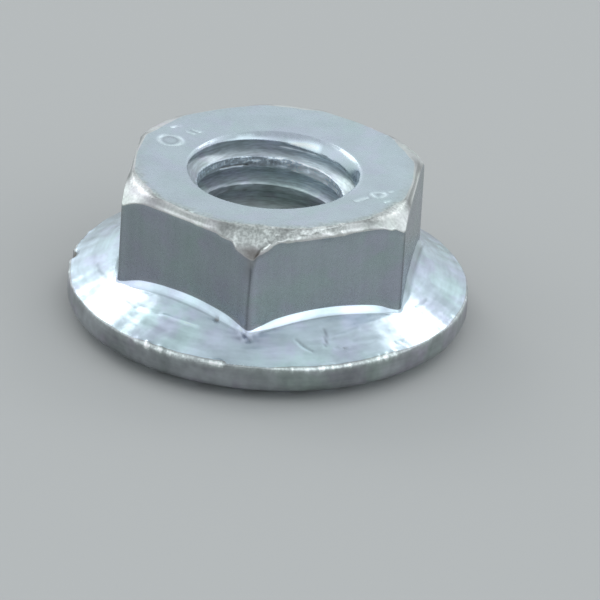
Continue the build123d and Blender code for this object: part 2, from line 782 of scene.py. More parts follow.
@dataclass(frozen=True)
class TopWear(Wear):
    """Signs pressed into the top face and the rubbed fringe along its chamfers."""

    patch_fuzz: float = 0.16
    fine_fuzz: float = 0.12
    corner_rise: Span = (0.05, 0.4)
    side_fringe: float = 0.7
    fringe_span: Span = (0.05, 0.5)
    fringe_shade: float = -0.05
    hem: float = 0.8
    hem_width: float = 0.07
    fleck_span: Span = (0.05, 0.35)
    fleck_height: float = 0.03
    # Painted highlight on the burr's flecks.
    fleck_shade: float = 0.2

    def spot(self, point: Vector, angle: float, radius: float) -> Spot:
        """Return the top face's signs, fringe and burr flecks at a point.

        Args:
            point: The point on the skin.
            angle: Its angle about the axis, in radians.
            radius: Its distance from the axis.

        Returns:
            The point's lift and looks.
        """
        signs = marked(TOP_MARKS, angle, radius)
        inside = self.sizes.chamfer_circle(angle) - radius
        fringe = self.fringe(point, angle, inside)
        flecks = self.burred(angle, point)[1] * (1.0 - ease(*self.fleck_span, inside))
        lift = min(0.0, signs.lift + self.forging * self.slow.at(point))
        lift += fringe * self.corner_grain * self.fine.at(point)
        lift += self.fleck_height * flecks
        shade = signs.shade + self.fringe_shade * fringe + self.fleck_shade * flecks
        return Spot(lift, shade, min(1.0, max(fringe, signs.wear)), signs.grime)

    def fringe(self, point: Vector, angle: float, inside: float) -> float:
        """Return how far the plating is rubbed along the chamfers.

        Args:
            point: The point on the top face.
            angle: Its angle about the axis, in radians.
            inside: Millimetres from the chamfers towards the axis.

        Returns:
            Share from 0 to 1.
        """
        fuzz = self.patch_fuzz * self.patch.at(point) + self.fine_fuzz * self.fine.at(point)
        at_corner = self.sizes.cornering(angle, *self.corner_rise)
        broad = mix(self.side_fringe, 1.0, at_corner) * (1.0 - ease(*self.fringe_span, inside + fuzz))
        hem = self.hem * (1.0 - ease(0.0, self.hem_width, inside))
        return self.handled(angle) * max(broad, hem)


@dataclass(frozen=True)
class ChamferWear(Wear):
    """Rubbed grain of the corner chamfers, painted shade on their tails, a painted highlight along the
    rolled edge, and the beads and brown tip at the front corner.
    """

    corner_rise: Span = (0.03, 0.3)
    grain_shares: Span = (0.6, 0.4)
    grain_sizes: Span = (0.3, 0.8)
    burr_height: float = 0.055
    burr_swells: Span = (0.5, 1.0)
    edge_width: float = 0.12
    # Painted highlight along the hexagon edge.
    edge_shade: float = 0.1
    edge_wear: float = 0.35
    burr_wear: float = 0.4
    corner_wears: Span = (0.12, 0.85)
    front_reach: float = 30.0
    inner_width: float = 0.3
    inner_fuzz: float = 0.2
    inner_wear: float = 0.8
    inner_shade: float = 0.14
    edge_fade: Span = (-0.01, 0.035)
    tail_span: Span = (0.2, 0.52)
    tail_shade: float = -0.36
    rolled_span: Span = (0.02, 0.25)
    rolled_depths: Span = (0.15, 0.24)
    rolled_shades: Span = (-0.15, 0.5)
    # Painted highlight on the burr's flecks.
    fleck_shade: float = 0.22
    bead_height: float = 0.07
    bead_shade: float = 1.0
    bead_size: float = 0.06
    seam_climb: Span = (0.8, 3.2)
    seam_hook: Span = (5.5, 7.4)
    hook_fall: float = 0.6
    seam_rise: float = 0.12
    seam_width: float = 0.075
    seam_depth: float = 0.021
    seam_shade: float = 0.5
    tongue_heights: Span = (5.06, 5.27)
    tongue_width: float = 0.45
    tongue_shade: float = 0.58
    tongue_browning: float = 0.34
    tongue_gloss: float = 0.6

    def spot(self, point: Vector, angle: float, radius: float) -> Spot:
        """Return the rubbed grain, burrs and stains of the chamfers at a point.

        Args:
            point: The point on the skin.
            angle: Its angle about the axis, in radians.
            radius: Its distance from the axis.

        Returns:
            The point's lift and looks.
        """
        at_corner = self.sizes.cornering(angle, *self.corner_rise)
        handled = self.handled(angle)
        burr, flecks = self.burred(angle, point)
        edge = ease(-self.edge_width, 0.0, radius - self.sizes.hexagon(angle))
        outward = radius - self.sizes.chamfer_circle(angle) + self.inner_fuzz * self.patch.at(point)
        inner = 1.0 - ease(0.0, self.inner_width, outward)
        above = 1.0 - ease(*self.edge_fade, self.below_edge(angle, point.z))
        bead, seam = self.beaded(angle, point.z)
        tongue = self.tongue(angle, point.z)
        fine, finer = self.grain_shares
        grain = fine * self.fine.at(point) + finer * self.finer.at(point)
        lift = handled * mix(*self.grain_sizes, at_corner) * self.corner_grain * grain
        lift += self.burr_height * flecks * mix(*self.burr_swells, edge)
        lift += self.bead_height * bead - self.seam_depth * seam
        shade = self.rolled_shade(angle, point.z) + self.fleck_shade * flecks + self.edge_shade * edge
        shade -= self.inner_shade * inner * handled * at_corner
        shade += along(CHAMFER_LIGHTS, angle) - self.tongue_shade * tongue
        shade = shade * above + self.bead_shade * bead - self.seam_shade * seam
        front = max(bell(self.past_front(angle), math.radians(self.front_reach)), self.inner_wear * inner)
        wear = max(self.edge_wear + self.burr_wear * burr, at_corner * mix(*self.corner_wears, front))
        wear = min(1.0, handled * wear) * above * (1.0 - self.tongue_gloss * tongue)
        return Spot(lift, shade, wear, self.tongue_browning * tongue)

    def rolled_shade(self, angle: float, height: float) -> float:
        """Return the painted shade of the chamfers' tails and the painted highlight along the rolled edge
        between them.

        Args:
            angle: Angle about the axis, in radians.
            height: Height above the bearing face.

        Returns:
            The shade.
        """
        tail = 1.0 - self.sizes.cornering(angle, *self.tail_span)
        rolled = 1.0 - self.sizes.cornering(angle, *self.rolled_span)
        low = ease(*self.rolled_depths, self.sizes.height - height)
        return tail * mix(self.tail_shade, mix(*self.rolled_shades, low), rolled)

    def beaded(self, angle: float, height: float) -> tuple[float, float]:
        """Return the two beads of metal beside the front corner and the dark line over them.

        Args:
            angle: Angle about the axis, in radians.
            height: Height above the bearing face.

        Returns:
            Strength of a bead and of the line, 0 to about 1.
        """
        above = -self.below_edge(angle, height)
        off = math.degrees(self.past_front(angle))
        climb = ease(*self.seam_climb, off) * (1.0 - self.hook_fall * ease(*self.seam_hook, off))
        seam = along(EDGE_SEAMS, angle) * bell(above - self.seam_rise * climb, self.seam_width)
        return along(EDGE_BEADS, angle) * bell(above, self.bead_size), seam

    def tongue(self, angle: float, height: float) -> float:
        """Return how far the front corner's tip is made darker and browner, 0 to 1."""
        arc = self.past_front(angle) * self.sizes.across_flats / 2
        return bell(arc, self.tongue_width) * (1.0 - ease(*self.tongue_heights, height))


@dataclass(frozen=True)
class FlatWear(Wear):
    """Slow unevenness of the wrench flats, their tone painted by the way each faces, and a painted dark line
    down each upright edge.
    """

    # The edge line is a painted dark reflection down each upright edge; the beside stripe is a painted
    # highlight.
    line_width: float = 0.06
    line_strength: float = 0.45
    line_shade: float = 0.33
    beside_place: float = 0.16
    beside_width: float = 0.07
    beside_shade: float = 0.07
    rubbed_drops: Span = (0.1, 0.5)
    rubbed_reach: Span = (0.1, 0.35)
    rubbed_taper: float = 0.5
    rubbed_wear: float = 0.45
    rubbed_grime: float = 0.08
    # Painted light and shade by the way each flat faces: flats facing right lighter, the flat facing
    # straight right darker.
    side_shade: float = 0.01
    right_shade: float = 0.24
    right_face_shade: float = 0.42
    right_face_reach: float = 0.5
    fleck_drops: Span = (0.02, 0.12)
    # Painted highlight on the burr's flecks.
    fleck_shade: float = 0.5
    fleck_wear: float = 0.9
    patch_share: float = 0.25
    cloud_shade: float = 0.05
    cloud_scale: float = 0.7
    seam_heights: Span = (2.8, 5.0)
    seam_wander: Span = (-0.7, 0.1)
    bend_heights: Span = (4.4, 5.3)
    bend: float = 1.9
    widening_heights: Span = (3.8, 4.6)
    seam_widths: Span = (0.04, 0.065)
    seam_strength: float = 0.85
    dark_height: float = 4.4
    dark_reach: float = 0.8
    dark_strength: float = 0.65
    streak_place: float = 0.13
    streak_width: float = 0.09
    streak_rise: float = 0.6
    streak_grime: float = 0.22

    def spot(self, point: Vector, angle: float, radius: float) -> Spot:
        """Return the flats' tone, upright edges and rubbed corners at a point.

        Args:
            point: The point on the skin.
            angle: Its angle about the axis, in radians.
            radius: Its distance from the axis.

        Returns:
            The point's lift and looks.
        """
        from_edge = self.sizes.from_corner(angle) * radius
        drop = self.below_edge(angle, point.z)
        seam, streak = self.front_seam(angle, point.z)
        line = max(self.line_strength * bell(from_edge, self.line_width), seam)
        beside = bell(from_edge - self.beside_place, self.beside_width)
        near_edge = 1.0 - ease(*self.rubbed_reach, from_edge + self.rubbed_taper * drop)
        rubbed = (1.0 - ease(*self.rubbed_drops, drop)) * near_edge
        flecks = self.burred(angle, point)[1] * (1.0 - ease(*self.fleck_drops, drop))
        lift = self.forging * (self.slow.at(point) + self.patch_share * self.patch.at(point))
        shade = self.painted_facing_light(angle) - self.line_shade * line + self.beside_shade * beside
        shade += self.cloud_shade * self.slow.at(point * self.cloud_scale) + self.fleck_shade * flecks
        wear = min(1.0, max(self.rubbed_wear * rubbed, self.fleck_wear * flecks))
        return Spot(lift, shade, wear, self.rubbed_grime * rubbed + self.streak_grime * streak)

    def painted_facing_light(self, angle: float) -> float:
        """Return the painted light and shade of the flat at an angle, by the direction that it faces.

        Args:
            angle: Angle about the axis, in radians.

        Returns:
            The tone, as a shade.
        """
        heading = turned(self.sizes.flat_heading(angle))
        right_face = self.right_face_shade * bell(heading, self.right_face_reach)
        return self.side_shade + self.right_shade * math.cos(heading) - right_face

    def front_seam(self, angle: float, height: float) -> tuple[float, float]:
        """Return the dark seam down the front corner and the brown streak beside it.

        Args:
            angle: Angle about the axis, in radians.
            height: Height above the bearing face.

        Returns:
            Strength of the seam and of the streak, 0 to about 1.
        """
        wander = mix(*self.seam_wander, ease(*self.seam_heights, height))
        wander += self.bend * ease(*self.bend_heights, height)
        off = math.degrees(self.past_front(angle))
        arc = math.radians(off - wander) * self.sizes.across_flats / 2
        seam = bell(arc, mix(*self.seam_widths, ease(*self.widening_heights, height)))
        seam *= self.seam_strength + self.dark_strength * bell(height - self.dark_height, self.dark_reach)
        top = self.bend_heights[0]
        streak = bell(arc + self.streak_place, self.streak_width) * ease(top - self.streak_rise, top, height)
        return seam, streak


@dataclass(frozen=True)
class RimEdgeWear(Wear):
    """Burrs and the nick of the rim's upper edge, where the flange meets the rim."""

    burr_height: float = 0.07
    lump_rise: Span = (-0.1, 0.3)
    lump_grain: Span = (-0.3, 0.1)
    nick_angle: float = 178.3
    nick_width: float = 0.24
    nick_reach: float = 0.16
    nick_depth: float = 0.17
    # The nick is painted darker as painted shade; its grime is brown dirt.
    nick_shade: float = 0.3
    lip_place: float = 0.44
    lip_width: float = 0.09
    lip_height: float = 0.04

    def rim_burred(self, angle: float) -> tuple[float, float]:
        """Return how burred the rim's upper edge is at an angle.

        Args:
            angle: Angle about the axis, in radians.

        Returns:
            Strength of the burred stretch and of the single lump there, 0 to about 1.
        """
        burr = along(RIM_BURRS, angle)
        edge_point = around(self.sizes.rim_radius, angle, 0.0)
        lump = ease(*self.lump_rise, self.burr_flecks.at(edge_point))
        return burr, burr * lump * ease(*self.lump_grain, self.fine.at(edge_point))

    def nicked(self, angle: float, off_edge: float) -> tuple[float, float]:
        """Return the nick in the rim's upper edge and the lips pushed up on both its sides.

        Args:
            angle: Angle about the axis, in radians.
            off_edge: Distance from the rim's upper edge in millimetres.

        Returns:
            Strength of the nick and of a lip, 0 to 1.
        """
        arc = turned(angle - math.radians(self.nick_angle)) * self.sizes.rim_radius
        near = bell(off_edge, self.nick_reach)
        return bell(arc, self.nick_width) * near, bell(abs(arc) - self.lip_place, self.lip_width) * near


@dataclass(frozen=True)
class FlangeWear(RimEdgeWear):
    """Ripples and marks of the flange, the painted shade of the crease along the hexagon's foot and the
    painted light of the band at the foot.
    """

    corner_rise: Span = (0.45, 0.68)
    # The crease is painted darker as painted shade.
    crease_place: float = 0.01
    crease_width: float = 0.045
    crease_depths: Span = (0.8, 0.5)
    crease_shade: float = 0.35
    ripple_round: float = 2.2
    ripple_out: float = 1.7
    ripple_share: float = 0.6
    patch_share: float = 0.3
    streak_round: float = 7.0
    streak_out: float = 5.5
    streak_height: float = 0.005
    fleck_reach: float = 0.22
    # Painted highlight on the rim burr's flecks.
    fleck_shade: float = 0.2
    front_reach: float = 0.3
    stubble_reach: float = 0.35
    stubble_height: float = 0.03
    stubble_shade: float = 0.5
    # The foot band and the nick's lips are painted lighter as painted highlights.
    band_span: Span = (-0.04, 0.02)
    band_shade: float = 0.1
    lip_shade: float = 0.3
    edge_width: float = 0.07
    edge_wear: float = 0.35

    def spot(self, point: Vector, angle: float, radius: float) -> Spot:
        """Return the flange's ripples, marks, crease and edge at a point.

        Args:
            point: The point on the skin.
            angle: Its angle about the axis, in radians.
            radius: Its distance from the axis.

        Returns:
            The point's lift and looks.
        """
        marks = marked(FLANGE_MARKS, angle, radius)
        past_foot = radius - self.sizes.hexagon(angle) - self.sizes.foot_run
        outside = self.sizes.rim_radius - radius
        at_corner = self.sizes.cornering(angle, *self.corner_rise)
        steady, swing = self.crease_depths
        crease = bell(past_foot - self.crease_place, self.crease_width) * (1.0 - at_corner)
        crease *= steady + swing * self.slow.at(point)
        stubble = bell(self.past_front(angle), self.front_reach) * at_corner
        stubble *= ease(self.stubble_reach, 0.0, past_foot) * self.fine.at(point)
        nick, lip = self.nicked(angle, outside)
        flecks = self.rim_burred(angle)[1] * (1.0 - ease(0.0, self.fleck_reach, outside))
        band = 1.0 - ease(*self.band_span, past_foot)
        lift = self.rippled(point, angle, radius) + marks.lift + self.stubble_height * stubble
        lift += self.burr_height * flecks - self.nick_depth * nick + self.lip_height * lip
        shade = marks.shade + self.stubble_shade * stubble + self.band_shade * band
        shade += self.fleck_shade * flecks - self.crease_shade * crease + along(FLANGE_LIGHTS, angle)
        shade += self.lip_shade * lip - self.nick_shade * nick
        wear = self.edge_wear * bell(outside, self.edge_width)
        return Spot(lift, shade, wear, min(1.0, marks.grime + nick))

    def rippled(self, point: Vector, angle: float, radius: float) -> float:
        """Return the lift of the flange's slow ripples and fine streaks.

        Args:
            point: The point on the skin.
            angle: Its angle about the axis, in radians.
            radius: Its distance from the axis.

        Returns:
            Lift in millimetres.
        """
        ripple = noise.noise(around(self.ripple_round, angle, self.ripple_out * radius))
        streaks = noise.noise(around(self.streak_round, angle, self.streak_out * radius))
        slow = self.slow.at(point) + self.ripple_share * ripple + self.patch_share * self.patch.at(point)
        return self.forging * slow + self.streak_height * streaks


@dataclass(frozen=True)
class RimWear(RimEdgeWear):
    """Slow dents, mottling and the rubbed upper edge of the rim, painted lighter upward, on the right and on
    its burrs.
    """

    edge_width: float = 0.12
    slow_share: float = 1.3
    patch_share: float = 0.6
    proud_share: float = 0.6
    edge_wear: float = 0.3
    burr_wear: float = 0.3
    # Burrs are rubbed and also painted lighter: wear and painted highlight.
    proud_wear_and_highlight: float = 0.7
    proud_shade: float = 0.9
    slow_shade: float = 0.05
    patch_shade: float = 0.13
    fine_shade: float = 0.13
    # Painted light and shade: lighter on the right and towards the top, darker towards the bottom.
    right_shade: float = 0.1
    upward_shade: float = 0.12
    lip_shade: float = 0.4

    def spot(self, point: Vector, angle: float, radius: float) -> Spot:
        """Return the rim's burrs, nick and slow dents at a point.

        Args:
            point: The point on the skin.
            angle: Its angle about the axis, in radians.
            radius: Its distance from the axis; not used here.

        Returns:
            The point's lift and looks.
        """
        below = self.sizes.rim_top - point.z
        edge = bell(below, self.edge_width)
        burr, fleck = self.rim_burred(angle)
        nick, lip = self.nicked(angle, below)
        proud = edge * fleck
        slow, patch = self.slow.at(point), self.patch.at(point)
        lift = self.forging * (self.slow_share * slow + self.patch_share * patch)
        lift += self.proud_share * self.burr_height * proud
        lift += self.lip_height * lip - self.nick_depth * nick
        wear = edge * (self.edge_wear + self.burr_wear * burr) + self.proud_wear_and_highlight * proud
        shade = self.proud_shade * proud + self.slow_shade * slow + self.patch_shade * patch
        shade += self.fine_shade * self.fine.at(point) + along(RIM_LIGHTS, angle)
        shade += self.right_shade * math.cos(angle) + self.upward_shade * (self.sizes.rim_top / 2 - below)
        shade += self.lip_shade * lip - self.nick_shade * nick
        return Spot(lift, shade, min(1.0, wear), nick)


class Handling:
    """What making and handling did to the whole skin, and the light and shade painted on it."""

    def __init__(self, sizes: NutSizes) -> None:
        """Set the wear of each stretch of the skin.

        Args:
            sizes: Sizes of the nut.
        """
        self.wears: dict[Zone, Wear] = {
            Zone.TOP: TopWear(sizes),
            Zone.CHAMFER: ChamferWear(sizes),
            Zone.FLATS: FlatWear(sizes),
            Zone.FLANGE: FlangeWear(sizes),
            Zone.RIM: RimWear(sizes),
        }

    def spot(self, zone: Zone, angle: float, radius: float, height: float) -> Spot:
        """Return what happened to one point of the skin.

        Args:
            zone: Stretch of the skin.
            angle: Angle about the axis, in radians.
            radius: Distance from the axis.
            height: Height above the bearing face.

        Returns:
            The point's lift and looks.
        """
        if zone not in self.wears:
            return Spot()
        return self.wears[zone].spot(around(radius, angle, height), angle, radius)

    def edge_drop(self, angle: float) -> float:
        """Return how far below the top face the upper edge of the flats runs."""
        return self.wears[Zone.CHAMFER].edge_drop(angle)


class Looks:
    """The mesh's point layers that the materials read; the shade layer holds painted light and shade."""

    NAMES = ("shade", "wear", "grime")

    def __init__(self, bm: bmesh.types.BMesh) -> None:
        """Add the layers to an empty mesh.

        Args:
            bm: The mesh.
        """
        self.layers = [bm.verts.layers.float.new(name) for name in self.NAMES]
        self.ring = bm.verts.layers.int.new("ring")

    def write(self, vert: bmesh.types.BMVert, spot: Spot) -> None:
        """Store a point's shade, wear and grime."""
        for layer, value in zip(self.layers, spot[1:]):
            vert[layer] = value


# ---------------------------------------------------------------- threaded bore
@dataclass(frozen=True)
class ThreadedBore:
    """Right-hand thread, run out into a countersink at each end.

    The tap entered a little off the axis and tore the first crest, so the bore is
    wider and rougher near the top.
    """

    sizes: NutSizes
    steps_per_turn: int = 180
    flank_rows: int = 22
    flank_angle: float = 30.0
    crest_flat: float = 0.2
    far_crest: float = 0.61
    start_below: float = 1.25
    merge_share: float = 0.2
    trim_margin: float = 1e-5
    blend: float = 0.02
    lip_rounding: float = 0.1
    entry_depths: Span = (1.0, 2.6)
    entry_widening: float = 0.1
    mouth_shift: float = 0.03
    steep_side: float = 3.0
    side_width: float = 20.0
    falls: Span = (0.85, 0.1)
    mouth_edge: float = 0.04
    ledge_depths: Span = (0.25, 0.45)
    ledge: float = 5.0
    brown_depths: Span = (2.2, 2.6)
    leans: Span = (0.05, 0.11)
    lean_heading: float = 186.0
    torn_depths: Span = (1.4, 1.7)
    torn_lag: float = 0.3
    tear: float = 0.035
    tear_stretch: Span = (2.2, 7.0)
    tear_again: Span = (2.1, 0.5)
    crest_fade: float = 0.05
    crest_grain: float = 0.012
    crest_grain_scale: float = 5.0
    gleam_depth: float = 1.0
    far_side: float = 95.0
    far_width: float = 48.0
    far_depths: Span = (0.8, 1.1)
    slit_middle: float = 131.0
    slit_reach: float = 12.5
    slit_height: float = 4.55
    slit_spread: float = 0.4
    slit_fade: Span = (0.8, 1.0)
    slit_phase: float = -0.15
    slit_width: float = 0.03
    slit_lip_phase: float = -0.21
    slit_end_phase: float = -0.16
    slit_end_sizes: Span = (2.0, 0.06)
    slit_depth: float = 0.035
    torn_crest: float = 4.62
    torn_lip: float = 0.07
    torn_lip_reach: float = 0.45
    lip_sag: float = 0.08
    sag_heading: float = 70.0
    sag_width: float = 0.4
    sag_depths: Span = (0.5, 0.75)
    # Painted light and shade of the thread: the cut, far and deep shades paint the grooves under each crest
    # darker, the deep crest shade darkens the lower crests and line_shade paints a highlight along them. The
    # slit is painted darker in the dirt colour as painted shade, with its lip painted lighter. brown_shade
    # lightens the bottom, the lit values lighten one side of the wall, and band_shade darkens the torn
    # band's lower side.
    cut_shade: float = 0.36
    far_shades: Span = (0.28, 0.12)
    deep_shade: float = 0.26
    deep_crest_shade: float = 0.38
    line_place: float = 0.04
    line_width: float = 0.03
    line_shade: float = 0.25
    slit_shade: float = 0.6
    slit_shadow_tint: float = 0.3
    slit_lip_shade: float = 0.5
    slit_lip_gloss: float = 0.8
    brown_shade: float = 0.72
    brown_grime: float = 0.5
    lit_side: float = 62.0
    lit_width: float = 23.0
    lit_depths: Span = (1.9, 2.2)
    lit_shades: Span = (0.4, 1.1)
    band_fade: Span = (0.02, 0.16)
    band_shade: float = 0.16
    band_wear: float = 0.85
    faded_wear: float = 0.45
    tears: Grain = Grain(1.0, 12.0)

    @property
    def root_edge(self) -> float:
        """Distance along the axis from a crest's middle to the edge of the root."""
        depth = self.sizes.thread_radius - self.sizes.bore_radius
        return self.crest_flat / 2 + depth * math.tan(math.radians(self.flank_angle))

    def phase(self, angle: float, height: float) -> float:
        """Return the distance along the axis to the middle of the nearest crest.

        Args:
            angle: Angle about the axis, in radians.
            height: Height above the bearing face.

        Returns:
            Millimetres, above 0 on the crest's upper side.
        """
        pitch = self.sizes.pitch
        rise = (angle - math.pi / 2) / TURN * pitch
        sag = self.lip_sag * bell(turned(angle - math.radians(self.sag_heading)), self.sag_width)
        sag *= 1.0 - ease(*self.sag_depths, self.sizes.mouth_height - height)
        return (height + sag - self.far_crest - rise + pitch / 2) % pitch - pitch / 2

    def cut(self, phase: float, height: float) -> float:
        """Return the thread's radius.

        Args:
            phase: Distance along the axis from the nearest crest's middle.
            height: Height above the bearing face.

        Returns:
            Radius in millimetres; the torn crest has a ragged lip on its lower side.
        """
        size = self.sizes
        near_torn = bell(height - phase - self.torn_crest, self.torn_lip_reach)
        lip = self.torn_lip * near_torn if phase < 0.0 else 0.0
        flank = max(0.0, abs(phase) - self.crest_flat / 2 - lip) / math.tan(math.radians(self.flank_angle))
        return min(size.bore_radius + flank, size.thread_radius)

    def entry(self, height: float) -> float:
        """Return 1 in the widened entry at the top and 0 deep in the bore."""
        return 1.0 - ease(*self.entry_depths, self.sizes.mouth_height - height)

    def torn(self, angle: float, height: float) -> float:
        """Return the torn crest's unevenness, drawn out along the thread.

        Args:
            angle: Angle about the axis, in radians.
            height: Height above the bearing face.

        Returns:
            A value between about minus and plus 1.
        """
        along_thread, up = self.tear_stretch
        finer, share = self.tear_again
        spread = Vector((angle * self.sizes.bore_radius * along_thread, 0.0, height * up))
        return self.tears.at(spread) + share * self.tears.at(spread * finer)

    def pilot(self, angle: float, height: float) -> float:
        """Return the radius that the hole had before the tap."""
        widening = self.entry_widening + self.tear * self.torn(angle, height)
        return self.sizes.bore_radius + self.entry(height) * widening

    def sink(self, angle: float, height: float) -> float:
        """Return the radius of the nearer countersink.

        The upper one lies a little off the axis and is steeper on two opposite sides.

        Args:
            angle: Angle about the axis, in radians.
            height: Height above the bearing face.

        Returns:
            Radius in millimetres.
        """
        size = self.sizes
        depth = size.mouth_height - height
        if height < depth:
            return size.countersink(height)
        shift = self.mouth_shift * math.cos(angle - math.radians(self.lean_heading))
        off_side = math.degrees(math.asin(math.sin(angle - math.radians(self.steep_side))))
        steep = bell(off_side, self.side_width)
        edge = size.countersink(min(depth, self.mouth_edge))
        fall = size.mouth_radius - edge + mix(*self.falls, steep) * (edge - size.countersink(depth))
        ledge_depth = mix(*self.ledge_depths, 0.5 + 0.5 * math.cos(angle))
        fall += steep * self.ledge * max(0.0, depth - ledge_depth) ** 2
        return size.mouth_radius + shift - fall

    def lean(self, angle: float, height: float) -> float:
        """Return how much further out the off-axis thread lies at a point."""
        return mix(*self.leans, self.entry(height)) * math.cos(angle - math.radians(self.lean_heading))

    def radius(self, angle: float, height: float) -> float:
        """Return the bore's radius at a point of its wall.

        Args:
            angle: Angle about the axis, in radians.
            height: Height above the bearing face.

        Returns:
            Radius in millimetres.
        """
        cut = self.cut(self.phase(angle, height), height)
        thread = soft_max(cut, self.pilot(angle, height), self.blend) + self.lean(angle, height)
        return soft_max(thread, self.sink(angle, height), self.lip_rounding)

    def build(self, bm: bmesh.types.BMesh, looks: Looks) -> None:
        """Sweep the thread, trim it to the nut and work its surface.

        Args:
            bm: Empty mesh that gets the bore.
            looks: The mesh's layers.
        """
        size = self.sizes
        turns = math.ceil(size.height / size.pitch) + 1
        half = size.pitch / 2
        shares = [row / self.flank_rows for row in range(self.flank_rows + 1)]
        flanks = [mix(-self.root_edge, self.root_edge, share) for share in shares]
        lowest = self.far_crest - self.start_below * size.pitch
        row = [bm.verts.new((size.bore_radius, 0.0, lowest + phase)) for phase in (-half, *flanks, half)]
        edges = [bm.edges.new(pair) for pair in zip(row, row[1:])]
        steps = self.steps_per_turn
        rise = size.pitch / steps
        bmesh.ops.spin(bm, geom=row + edges, dvec=(0.0, 0.0, rise), angle=TURN, steps=steps, **AXIS)
        one_turn = bm.verts[:] + bm.edges[:] + bm.faces[:]
        climb = (0.0, 0.0, size.pitch)
        bmesh.ops.spin(
            bm, geom=one_turn, dvec=climb, angle=0.0, steps=turns - 1, use_duplicate=True, **AXIS
        )
        bmesh.ops.remove_doubles(bm, verts=bm.verts[:], dist=rise * self.merge_share)
        for height, direction in ((size.mouth_height - size.mouth_lip, 1.0), (size.mouth_lip, -1.0)):
            bmesh.ops.bisect_plane(
                bm, geom=bm.verts[:] + bm.edges[:] + bm.faces[:], dist=self.trim_margin,
                plane_co=(0.0, 0.0, height), plane_no=(0.0, 0.0, direction), clear_outer=True,
            )
        for vert in bm.verts:
            self.work(vert, looks)
        for face in bm.faces:
            in_sink = all(vert[looks.ring] for vert in face.verts)
            face.material_index = (Zone.TOP if in_sink else Zone.BORE).value

    def slit(self, angle: float, phase: float, height: float) -> tuple[float, float]:
        """Return the torn slit in the first full crest and the light lip under it.

        Args:
            angle: Angle about the axis, in radians.
            phase: Distance along the axis from the crest's middle.
            height: Height above the bearing face.

        Returns:
            Strength of the slit and of the lip, 0 to 1.
        """
        off = math.degrees(turned(angle)) - self.slit_middle
        within = 1.0 - ease(*self.slit_fade, abs(off) / self.slit_reach)
        within *= bell(height - self.slit_height, self.slit_spread)
        end_degrees, end_width = self.slit_end_sizes
        end = bell(off + self.slit_reach, end_degrees) * bell(phase - self.slit_end_phase, end_width)
        middle = within * bell(phase - self.slit_phase, self.slit_width)
        return max(middle, end), within * bell(phase - self.slit_lip_phase, self.slit_width)

    def wall(self, point: Vector, angle: float) -> Spot:
        """Return what the tap did to one point of the thread, with the light and shade painted on it.

        Args:
            point: The point on the swept wall.
            angle: Its angle about the axis, in radians.

        Returns:
            The point's lift and looks.
        """
        height = point.z
        depth = self.sizes.mouth_height - height
        phase = self.phase(angle, height)
        above_pilot = self.cut(phase, height) - self.pilot(angle, height)
        on_crest = 1.0 - ease(0.0, self.crest_fade, above_pilot)
        far = bell(turned(angle - math.radians(self.far_side)), math.radians(self.far_width))
        slit, light = self.slit(angle, phase, height)
        below_torn = ease(*self.torn_depths, depth - self.torn_lag)
        first = on_crest * (1.0 - ease(*self.torn_depths, depth))
        fading = ease(*self.band_fade, -phase)
        line = below_torn * bell(above_pilot - self.line_place, self.line_width) * float(phase > 0.0)
        far_shade = mix(*self.far_shades, ease(*self.far_depths, depth))
        cut_shade = mix(mix(self.cut_shade, far_shade, far), self.deep_shade, below_torn)
        brown = ease(*self.brown_depths, depth)
        shade = self.slit_lip_shade * light - self.slit_shade * slit - (1.0 - on_crest) * cut_shade
        shade -= self.deep_crest_shade * (on_crest - first)
        shade += self.line_shade * line + self.brown_shade * brown - self.band_shade * first * fading
        lit = bell(turned(angle - math.radians(self.lit_side)), math.radians(self.lit_width))
        shade += lit * (1.0 - ease(*self.lit_depths, depth)) * mix(*self.lit_shades, first)
        wear = (self.band_wear - self.slit_lip_gloss * light) * first * mix(1.0, self.faded_wear, fading)
        lift = self.crest_grain * on_crest * self.tears.at(point * self.crest_grain_scale)
        lift += self.slit_depth * (slit - light)
        return Spot(lift, shade, wear, self.slit_shadow_tint * slit + self.brown_grime * brown)

    def work(self, vert: bmesh.types.BMVert, looks: Looks) -> None:
        """Give one vertex of the swept wall its place and looks.

        Args:
            vert: A vertex of the trimmed wall.
            looks: The mesh's layers.
        """
        angle, height = math.atan2(vert.co.y, vert.co.x), vert.co.z
        radius = self.radius(angle, height)
        in_sink = radius < self.sink(angle, height) + self.blend
        if not in_sink:
            spot = self.wall(vert.co, angle)
            radius += spot.lift
        # Near the mouth the countersink gets its painted highlights.
        elif self.sizes.mouth_height - height < self.gleam_depth:
            spot = marked(SINK_HIGHLIGHTS, angle, radius)
        else:
            spot = Spot()
        vert[looks.ring] = int(in_sink)
        looks.write(vert, spot)
        vert.co = around(radius, angle, height)


# ---------------------------------------------------------------- outer skin
LIFT_WAYS = {Zone.TOP: 90.0, Zone.CHAMFER: 70.0, Zone.FLATS: 0.0, Zone.FLANGE: 62.0, Zone.RIM: 0.0}
BENDS = (
    Bend(0, Zone.TOP, 1, Zone.TOP),
    Bend(2, Zone.TOP, 28, Zone.TOP),
    Bend(4, Zone.CHAMFER, 9, Zone.CHAMFER),
    Bend(4, Zone.CHAMFER, 14, Zone.FLATS),
    Bend(2, Zone.FLANGE, 3, Zone.FLANGE),
    Bend(2, Zone.FLANGE, 32, Zone.FLANGE),
    Bend(4, Zone.RIM, 6, Zone.RIM),
    Bend(4, Zone.RIM, 3, Zone.UNDERSIDE),
    Bend(2, Zone.UNDERSIDE, 1, Zone.UNDERSIDE),
    Bend(2, Zone.UNDERSIDE, 10, Zone.UNDERSIDE),
    Bend(2, Zone.UNDERSIDE, 1, Zone.UNDERSIDE),
    Bend(0, Zone.BORE, 0, Zone.BORE),
)


